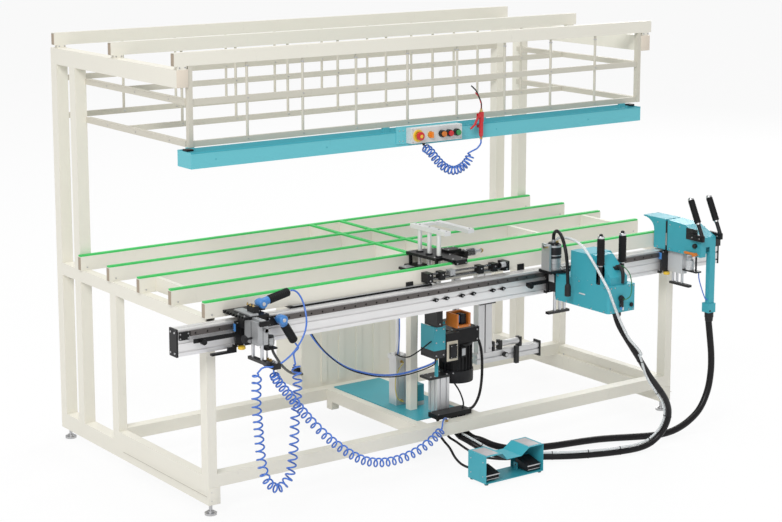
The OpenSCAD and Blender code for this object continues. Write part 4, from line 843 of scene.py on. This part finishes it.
left.block((-1312, -1268), (-947.2, -812), (948.1, 957), cast_alu, 1.5)
left.block((-1310, -1262), (-1031, -1017.2), (918, 940), black_steel, 1.5)
left.block((-1291, -1289), (-1017.4, -1016.8), (834, 917), soot_plastic, 0.2)
left.block((-1316.4, -1315.8), (-964, -960), (834, 932), soot_plastic, 0.2)
left.screws(-1290, (-1000, -970), 944, UP, 3.4)
left.done("left_head")


# ---- Right head ----

grips = Piece("right_handles")
for x in (474, 613):
    grips.disc((x, -1224, 903), UP, 94, 10.1, soot_plastic)
    grips.disc((x, -1224, 991), UP, 6, 12, bright_steel)
    grips.lathe((x, -1224, 905.2), UP, [(0, 17), (5, 17), (6, 15)], soot_plastic, 32, 10)
    grips.lathe((x, -1224, 997), UP, [(0, 15), (2, 18), (5, 19), *ribs(8, 122, 14, 19, 1.3),
                                      (125, 19), (130, 16)], black_grip, 36)
    grips.lathe((x, -1224, 1127), UP, [(0, 15), (1.5, 16), (10, 16), (12, 14)], ground_rod, 32)
    grips.lathe((x, -1224, 1139), UP, [(0, 9), (7, 9), (10, 6.5)], soot_plastic)
grips.done("right_head", ["right_grips"])

right = Piece("right_head_parts")
for x, way in ((460, LEFT), (627, RIGHT)):
    right.screws(x, (-1270, -1180, -1090, -1000, -935), (780, 897), way, 3.4)
right.screws((475, 500, 590, 617), -1300, (782, 896), FRONT, 3.2)
right.lathe((535, -1300.4, 843), FRONT, [
    (0, 13), (3, 15), (9, 15), (10, 12), (16, 12), (17, 9), (22, 9)], soot_plastic)
right.lathe((605, -1300.4, 803), FRONT, [(0, 10), (4, 11), (5, 8), (9, 8)], soot_plastic)
right.block((456.9, 459.9), (-1135, -1092), (836, 842), grey_coat, 0.6)
right.lathe((527, -1285, 772.6), DOWN, [(0, 22), (14, 22), (15, 19), (26, 18), (27, 14.8)],
            soot_plastic, 6, 14.8)
right.block((527, 543), (-1319, -1300.4), (800, 832), soot_plastic, 5)
right.disc((529, -1314, 790), UP, 12, 4.5, blue_plastic)
right.disc((541, -1314, 786), UP, 16, 4.5, grey_coat)
right.block((458.8, 460), (-906, -866), (856, 896), grey_coat, 0.4)
right.sweep(smooth_line([(556, -1264, 988), (554, -1280, 984), (550, -1296, 968),
                         (547, -1303, 942), (546, -1302, 914)], 4), 24, soot_plastic, 16,
            [24 - k * 0.6 for k in range(17)])
right.screws((466, 520), -917, (815, 890), FRONT, 3.2)
right.screws((474, 530, 560, 616), -857, 804, FRONT, 3.4)
right.screws(463, (-1240, -1150, -1070), 912, (-1, 0, 0.3), 2.8)
right.done("right_head")

cord("earth_wire", smooth_line([
    (556, -1259, 984), (556, -1266, 991), (560, -1292, 992), (572, -1322, 960), (574, -1336, 906),
    (560, -1344, 862), (544, -1338, 846), (535, -1330, 843), (535, -1322.6, 843)]), 5,
    hose_skin("green_wire", rgb(0.01, 0.15, 0.045), 0.4, 0.1, 0.02), "right_head",
    sides=8)


# ---- Far head ----

handles = Piece("far_handles")
LEAN = tilted(26, 1)
for x in (1243, 1371):
    handles.block((x - 8.7, x + 8.7), (-1142, -1052), (1001, 1033), black_steel, 1.5)
    foot = Vector((x, -1132, 1027))
    handles.disc(foot, LEAN, 66, 10, soot_plastic)
    handles.disc(foot + 66 * LEAN, LEAN, 8, 12, bright_steel)
    handles.lathe(foot + 74 * LEAN, LEAN, [
        (0, 14), (3, 17), *ribs(6, 116, 14, 17, 1.2), (119, 17), (122, 15)], black_grip, 36)
    handles.lathe(foot + 196 * LEAN, LEAN, [
        (0, 15), (3, 15.4), (8, 14.4), (12, 11.5), (15, 7), (16, 0)], bright_steel)
    handles.screws(x - 8.7, (-1120, -1070), 1017, LEFT, 3.4)
handles.done("far_head", ["far_grips"])

far = Piece("far_head_parts")
far.block((1242, 1254), (-1086, -1004), (922, 934), orange_coat, 2)
far.disc((1229, -1082, 928), RIGHT, 26, 9, orange_coat)
for x, way in ((1255, LEFT), (1359, RIGHT)):
    far.screws(x, -1096, 925, way, 3.2)
    far.screws(x, (-1030, -960, -890, -800), (925, 1052), way, 3.2)
far.lathe((1296, -997, 830), UP, [(0, 12), (1.5, 17), (5, 20), (10, 21), (50, 21)],
          clear_bowl, 36)
far.block((1229, 1233), (-856, -834), (866, 900), blue_plastic)
far.disc((1258, -868, 799), DOWN, 13, 17, yellow_gloss, 2)
far.block((1254.1, 1262), (-870.5, -857.5), (905, 1066), soot_plastic, 0.4)
far.block((1253.2, 1254.2), (-868, -860), (940, 1004), bright_steel, 0.3)
far.block((1322, 1334), (-1118.8, -1090), (625, 634), black_steel, 1)
far.screws((1240, 1322), -857, (802, 905), FRONT, 3.4)
for y in (-879, -909, -945):
    far.disc((1299, y, 912.3), UP, 2, 8, bright_steel)
far.lathe((1341.8, -1097.5, 620), DOWN, [(0, 23), (26, 23), (28, 21), (46, 20), (48, 17.4)],
          soot_plastic, 24, 17.4)
far.done("far_head")
cord("far_tube", smooth_line([
    (1308, -1050, 822), (1308, -1050, 808), (1308, -1054, 786), (1310, -1066, 752),
    (1312, -1082, 716), (1314, -1094, 694), (1319, -1098, 688), (1323.8, -1098, 688)]), 6,
    blue_tube, "far_head", sides=10)


# ---- Frame, table and rack ----

TOP_RAILS = range(-517, 674, 595)  # Y of the three overhead rails
TABLE_RAILS = range(450, -751, -300)  # Y of the five table rails

machine = Piece("frame_parts")
for side in (-1, 1):
    post, end = side * 1390, side * 1430 + side
    machine.screws(post - 16, -752.3, (75, 115), FRONT, 3)
    machine.block((post - 29, post + 29), (-754.5, -752.05), (56, 134), cream_coat, 1)
    machine.block((side * 1430.2 - 0.3, side * 1430.2 + 0.3), (-752, 40), (99, 101),
                  seam_shade, 0)
    machine.screws(side * 1382, (-330, 60), 135, UP, 9, 9)
    machine.block((post - 29, post + 29), (-534.5, -532.05), (1913, 1991), cap_beige, 1)
    # The dark brown blocks on the rail ends are painted shade where the open tubes' shaded
    # insides would show.
    for y in TOP_RAILS:
        machine.screws((post - 14, post + 14), y - 15, 2001, FRONT, 3.4)
        machine.block((end - 1, end + 1), (y - 12, y + 12), (2010, 2062), tube_mouth_shade, 0.4)
    for y in TABLE_RAILS:
        machine.block((end - 1, end + 1), (y - 12, y + 12), (921, 983), tube_mouth_shade, 0.4)
        machine.screws(side * 1397, y - 15.1, 933, FRONT, 3.6)
machine.done("machine")

rack = Piece("rack_bolts")
for x in range(-1050, 1051, 300):
    for y in TOP_RAILS:
        rack.screws(x, y - 7.5, (1656, 1843), FRONT, 3.4, 2.4)
        rack.lathe((x, y, 1991.9), DOWN, [(0, 9), (5, 9)], bright_steel, 6, 6.6)
for side in (-1, 1):
    rack.screws(side * 1365.5, (-360, -40, 240), (1656, 1843), (side, 0, 0), 3, 2.2)
rack.done("machine")

strips = Piece("strip_screws")
for y in TABLE_RAILS:
    for x in range(-1300, 1301, 325):
        if y != TABLE_RAILS[-1] or not -80 < x < 40:
            strips.lathe((x, y, 995.05), DOWN, [(0, 3.6), (0.5, 3.2), (1.2, 1.6), (1.2, 0)],
                         bright_steel, 12, None)
strips.done("machine")

tray = Piece("tray_rim")
for low, high in ((-642.4, -641), (-521, -519.6)):
    tray.block((-1416, 1262), (low, high), (1632, 1637.5), teal_coat, 0.6)
tray.screws((-1352, -282, 308, 1240), -529.1, 1606, FRONT, 3.4)
tray.screws((-1290, -700, -300, 300, 900), -641, 1600, FRONT, 2.6, 1.6, teal_coat)
tray.block((-1412, -1378), (-600, -560), (1637, 1646), black_steel, 1)
tray.block((1228, 1258), (-600, -560), (1637, 1646), black_steel, 1)
tray.done("machine")


# ---- Control box and gun ----

BUTTON_Z = 1616.5

box = Piece("control_parts")
box.screws((-244, 42), -689, (1587, 1646), FRONT, 2.8, 1.6)
box.block((-251.6, 49.6), (-688.8, -688), (1580, 1653), grey_coat, 0.4)
box.lathe((-214, -693, BUTTON_Z), FRONT, [(0, 29), (1, 29), (2.2, 26)], yellow_gloss, 48, 20)
for x in (-76, -35, 11):
    box.lathe((x, -707, BUTTON_Z), FRONT, [(0, 17), (1.4, 16.4), (1.4, 13.4), (0.4, 13.2)],
              soot_plastic, 40, 11.3)
box.lathe((-142, -693, BUTTON_Z), FRONT, [(0, 16), (1, 15.4)], soot_plastic, 40, 11.3)
box.lathe((-164, -667, 1576.6), DOWN, [(0, 8), (7, 8), (8, 6), (13, 6), (14, 4.1)],
          soot_plastic, 20, 4.1)
box.screws((-290, -270, 47), -645, (1590, 1640), FRONT, 2.8, 1.6)
box.done("machine")

stop_top = Piece("stop_button_top")
stop_top.lathe((-214, -703, BUTTON_Z), FRONT, [
    (0, 11), (0, 19), (2, 20.4), (9, 20.6), (13, 19), (15.6, 14), (16.2, 9.4), (16.2, 0)],
    red_gloss, 48, None)
stop_top.lathe((-214, -719.3, BUTTON_Z), FRONT, [(0, 8.6), (0.7, 8.2)], yellow_gloss, 36)
stop_top.done("stop_button")

GUN = (184, -667)  # X and Y of the hanging blow gun
gun = Piece("gun_parts")
gun.lathe((*GUN, 1563.2), UP, [(0, 7.4), (6, 7.4), (7, 6.6), (13, 6.6), (14, 5)], brass, 6, 4.2)
gun.lathe((*GUN, 1579.2), UP, [
    (0, 8.5), (3, 10.4), (16, 11.0), (40, 10.4), (70, 10.8), (82, 10.2)], red_gloss, 32)
gun.sweep(smooth_line([(*GUN, 1697), (*GUN, 1737), (176, -667, 1757),
                       (160, -667, 1788), (148, -667, 1806), (122, -667, 1828)], 5), 7,
          black_steel, 14)
gun.lathe((*GUN, 1696.6), UP, [(0, 8), (8, 8), (10, 5.4), (16, 5.4), (17, 3.6)], brass, 20)
gun.done("machine")


# ---- Beam ----

beam = Piece("beam_parts")
for x, way in ((-1613, LEFT), (1673, RIGHT)):
    beam.screws(x, (-818, -782), (802, 894), way, 4.6)
for x in range(-1525, 1596, 60):
    beam.lathe((x, -838.2, 887), FRONT, [(0, 4.5), (0.2, 4.3), (0.2, 2.6), (-2, 2.4), (-2, 0)],
               soot_plastic, 10, None)
beam.screws((-214, -150, -57, 12, 132, 194), -840, 848, FRONT, 3.6)
beam.screws((-1600, -1560), -842, (870, 890), FRONT, 3.4)
beam.block((-985, -215), (-785.9, -770.2), (917.1, 918.6), cast_alu, 0.4)
beam.done("machine")


# ---- Centre deck, stops and middle clamp ----

deck = Piece("deck_parts")
for x, y in ((-96, (-668, -470)), (-4, -462), (96, (-520, -602)), (6, (-655, -750)),
             (-48, -750)):
    deck.screws(x, y, 1009, UP, 4)
for y in (-508, -585, -661):
    deck.lathe((-66, y, 1009), UP, [(0, 19), (5, 19), (6, 17)], soot_plastic, 32, 11.1)
deck.lathe((130.2, -604, 993), RIGHT, [
    (0, 18), (4, 19), (10, 19), (11, 18), (60, 18), (61, 19), (66, 19)], cast_alu, 32)
deck.disc((196, -604, 993), RIGHT, 44, 8.3, ground_rod)
deck.lathe((240, -604, 993), RIGHT, [(0, 11), (3, 11), (3, 8), (9, 8)], brass, 20)
deck.screws((30, 94), (-612, -568), 1021, UP, 3.6)
deck.screws((-44, 8), -780, 992, FRONT, 3.4)
deck.block((-186, -134), (-556, -504), (947.1, 951), cast_alu, 1)
deck.done("machine")

stops = Piece("stop_parts")
stops.screws((-155, 79, 165), -811, 958, FRONT, 3.4)
stops.screws((-233, 233), -815, (938, 966), FRONT, 3.8)
for z in (965, 941):
    for a, b in ((-216, -170.2), (-139.8, -110.5), (-79.5, 63.8), (94.2, 149.8), (180.2, 216)):
        stops.disc((a, -795, z), RIGHT, b - a, 5.03, ground_rod, 0.2, 16)
stops.lathe((176, -831, 967), RIGHT, [(0, 12), (2, 13.2), (30, 13.2), (31, 11), (40, 11)],
            cast_alu)
stops.done("machine")

slider = Piece("slider_parts")
slider.screws(-95, -811, 958, FRONT, 3.4)
slider.block((-108, -82), (-811.8, -811), (949, 953), bright_steel, 0.3)
slider.done("sliding_stop")

clamp = Piece("clamp_parts")
clamp.screws(-66, (-508, -585, -661), 1142, UP, 5)
clamp.screws(70, (-725, -480), 1142, UP, 4)
clamp.screws(-66, (-721, -476), 1142, UP, 4)
clamp.done("middle_clamp")


# ---- Back of the rear cabinet ----

cabinet = Piece("cabinet_parts")
cabinet.block((-312, 222), (400.2, 402), (212, 765), cream_coat, 1.2)
for z in (270, 650):
    cabinet.disc((-319, 402, z), UP, 60, 5, bright_steel, 1)
cabinet.disc((196, 402, 490), BACK, 4, 11, bright_steel)
cabinet.block((194.5, 197.5), (405.8, 407), (483, 497), soot_plastic, 0.3)
for z in range(240, 319, 13):
    cabinet.block((-110, 20), (401.8, 402.5), (z, z + 4), soot_plastic, 0.2)
cabinet.block((-358, -330.2), (168, 206), (272, 312), soot_plastic, 3)
cabinet.disc((-1104, -795, 788), DOWN, 9, 12, soot_plastic, 1)
cabinet.done("machine")


# ---- Motor and its column ----

MOTOR = (150, -520)  # X and Y of the motor's axis


def round_motor(turn, x, y=0, z=0):
    """A point at x, y from the motor's axis, turned about it."""
    return Vector((*MOTOR, z)) + turn @ Vector((x, y, 0))


motor = Piece("motor_parts")
motor.lathe((*MOTOR, 329.8), UP, [
    (0, 70), (1, 78), (4, 84), (10, 88.6), (60, 88.6), (62, 86)], soot_plastic, 64)
for k in range(24):
    turn = turned(k / 24)
    spot = round_motor(turn, 52)
    motor.block((spot.x - 14, spot.x + 14), (spot.y - 2, spot.y + 2), (329.0, 330.4),
                black_steel, 0.4, turn)
for k in range(4):
    turn = turned(0.125 + k / 4)
    motor.screws(*round_motor(turn, 88.4, z=384), turn @ Vector(RIGHT), 3.4)
motor.screws((74, 226), (-586, -454), 606, UP, 5)
motor.screws((76, 224), -598, (544, 592), FRONT, 4.2)
motor.block((8, 76), (-633.4, -631.8), (466, 566), powder_coat(
    "plate_beige", rgb(0.62, 0.57, 0.46), 0.4))
motor.block((24, 64), (-644.6, -641.8), (482, 548), soot_plastic, 2)
motor.screws((28, 60), -644.6, (486, 544), FRONT, 2.4)
motor.block((98, 120), (-639.6, -638.0), (484, 520), cast_alu)
motor.lathe((238, -550, 545), RIGHT, [(0, 14), (4, 14), (5, 12), (11, 12), (13, 7.4)],
            soot_plastic, 6, 7.4)
motor.done("motor")

spindle = Piece("spindle_parts")
spindle.lathe((*MOTOR, 821), UP, [
    (0, 17), (0, 22), (3, 23.4), (12, 23.4), (13, 21), (17, 21), (18, 23.4), (27, 23.4),
    (30, 20), (30, 12.2)], bright_steel, 6, None)
spindle.disc((*MOTOR, 606.4), UP, 8, 24, bright_steel)
for turn in (turned(0), turned(0.5)):
    spot = round_motor(turn, 10, 4)
    spindle.block((spot.x - 3.4, spot.x + 3.4), (spot.y - 1.4, spot.y + 1.4), (856, 912),
                  bright_steel, 0.4, turn)
spindle.done("spindle")

column = Piece("column_parts")
column.screws((-60, -34, 40), (-592, -530), 388, UP, 4.6)
column.screws((-56, -12), -630, (505, 570, 635), FRONT, 3.8)
column.screws(-42, -640, (665, 745), FRONT, 4)
column.block((44, 60), (-668, -640), (664, 700), blue_plastic, 2)
column.block((62, 92), (-676, -634), (656.5, 706), soot_plastic, 2)
column.screws((34, 100), -690, 650, FRONT, 3.2)
column.lathe((-40, -610, 490), DOWN, [(0, 8.5), (6, 8.5), (8, 6.6), (12, 6.6)], brass, 6, 5.1)
for x, bore in ((28, 15), (78, 17.4)):
    column.lathe((x, -661, 199.8), DOWN, [(0, 22), (12, 22), (13, 20), (24, 19), (26, bore)],
                 soot_plastic, 6, bore)
for x in (-68, -28):
    column.lathe((x, -661, 199.8), DOWN, [(0, 11), (8, 11), (9, 9), (15, 8), (16, 6.2)],
                 soot_plastic, 6, 6.2)
column.lathe((-58, -720, 195.1), UP, [(0, 9), (5, 9), (6, 7), (9, 7), (10, 4.2)], brass, 6, 4.2)
column.screws((-80, 106), (-684, -624), 223, UP, 3.4, 2.4)
for y, colour in ((-477, rgb(0.02, 0.20, 0.06)), (-470, rgb(0.55, 0.14, 0.02))):
    column.sweep([(-58.2, y + 1.2 * math.sin(z / 60), z) for z in range(206, 900, 30)], 3.6,
                 hose_skin("post_wire_%d" % -y, colour, 0.4), 8)
column.done("machine")

cylinder = Piece("clamp_cylinder_parts")
cylinder.lathe((-79, -341, 457), UP, [(0, 16), (6, 16), (7, 14), (10, 14)], bright_steel,
               bore=10.2)
cylinder.screws((-105, -53), (-367, -315), 457, UP, 4)
for z in (424, 222):
    cylinder.lathe((-79, -372.2, z), FRONT, [(0, 8), (3, 8), (3, 6), (9, 6)], brass, 6)
cylinder.done("machine")
cord("yellow_loop", smooth_line([
    (-79, -381, 424), (-79, -390, 424), (-92, -402, 420), (-118, -404, 396), (-134, -400, 350),
    (-134, -398, 296), (-124, -400, 250), (-100, -402, 228), (-85, -398, 222), (-79, -390, 222),
    (-79, -381, 222)]), 5, yellow_tube, "machine", sides=10)
cord("rod_tube", smooth_line([
    (-92, -350, 797), (-92, -352, 786), (-94, -366, 740), (-97, -380, 660), (-99, -384, 580),
    (-100, -380, 510), (-98, -370, 474), (-98, -368, 457.2)]), 6, blue_tube, "machine",
    sides=10)
cord("bracket_cable", smooth_line([
    (-68.2, -606, 575), (-82, -602, 566), (-108, -566, 528), (-126, -506, 486), (-128, -446, 472),
    (-120, -396, 470), (-108, -370, 466), (-106, -362, 457.2)]), 7, black_hose, "machine",
    sides=10)
cord("loop_cable", smooth_line([
    (52.2, -560, 352), (64, -562, 352), (88, -576, 340), (106, -604, 300), (108, -634, 256),
    (98, -652, 234), (88, -656, 223.3)]), 8, black_hose, "machine", sides=10)

profile = Piece("side_profile_parts")
profile.screws(738, (-470, -450), (380, 406), RIGHT, 3.8)
profile.screws((478, 608), (-472, -452), 470, UP, 3.2)
profile.screws((340, 404), -486, 692, UP, 3.8)
profile.screws((340, 404), -478, 440, FRONT, 3.8)
profile.disc((497, -500, 396), FRONT, 4, 9, bright_steel)
profile.done("machine")


# ---- Right head's driver ----

DRIVER = (453, -905)  # X and Y of the screwdriver's axis
driver = Piece("right_driver_parts")
driver.lathe((*DRIVER, 926), UP, [
    (0, 39), (6, 39), (8, 36.4), (30, 36.4), (32, 38), (36, 38), (38, 36.4), (58, 36.4)],
    cast_alu, 48, 35)
driver.lathe((*DRIVER, 984), UP, [
    (0, 36), (0, 39.4), (12, 39.4), (13, 38.6), (16, 38.6), (17, 39.4), (42, 39.4), (44, 39.1)],
    soot_plastic, 48, None)
driver.lathe((*DRIVER, 1028), UP, [
    (0, 39.1), (10, 39.4), (12, 37), (22, 37), (23, 26), (30, 25.2), (30, 0)],
    soot_plastic, 48, None)
for y in range(-958, -873, 12):
    driver.block((393, 397.4), (y, y + 6), (912.4, 925.6), black_steel, 0.5)
for k in range(6):
    driver.screws(*(Vector((*DRIVER, 1050)) + turned(k / 6) @ Vector((31, 0, 0))), UP, 3)
driver.disc((*DRIVER, 1058), UP, 13.6, 11, bright_steel)
driver.disc((470, -911, 1058), UP, 8, 8.4, brass)
driver.disc((377, -921, 1046), RIGHT, 24, 7.4, brass)
driver.lathe((411, -1063, 824), UP, [
    (0, 0), (0, 12), (2, 15.3), (50, 15.3), (52, 13.6), (56, 13.6), (58, 11), (62, 9)],
    soot_plastic, 32, None)
driver.screws((405, 500), (-940, -872), 926, UP, 3.8)
driver.done("right_head")


# ---- Foot switch ----

switch = Piece("foot_switch_parts")
for span in ((-136, -62), (122, 192)):
    switch.block(span, (-1128, -1018), (142.05, 142.7), plate_grey, 0.2)
switch.screws((-141, -54, 117, 199), (-1134, -1014), 142, UP, 2.8, 1.6)
for x, way in ((-148, LEFT), (204, RIGHT)):
    switch.screws(x, (-1120, -1028), (40, 110), way, 3, 2)
for x in (-98, 154):
    switch.lathe((x, -990, 34), FRONT, [(0, 10), (3, 11), (15, 11.4)], soot_plastic, 24, 6.2)
for x, y in itertools.product((-134, 190), (-1128, -1020)):
    switch.lathe((x, y, 0.3), UP, [(0, 9), (1, 9.6), (7.6, 9.6)], soot_plastic, 24)
switch.done("machine")
for name, middle in (("pedal_left", -98), ("pedal_right", 154)):
    tread = Piece(name + "_tread")
    lean = Matrix.Rotation(math.atan2(22, 90), 3, "X")
    for k in range(9):
        y = -1126 + k * 9.6
        z = 46.6 + (y + 1132) / 90 * 22
        tread.block((middle - 38, middle + 38), (y - 2.4, y + 2.4), (z - 1.5, z + 1.6),
                    soot_plastic, 0.7, lean)
    tread.block((middle - 41, middle + 41), (-1133.4, -1131.4), (40.4, 46.4), bright_steel, 0.4)
    tread.block((middle - 37, middle + 37), (-1131.2, -1129.4), (22.4, 25.6), bright_steel, 0.4)
    tread.screws((middle - 34, middle + 34), -1046.5, 67.3, (0, -0.24, 0.97), 2.8, 1.8)
    tread.done(name)
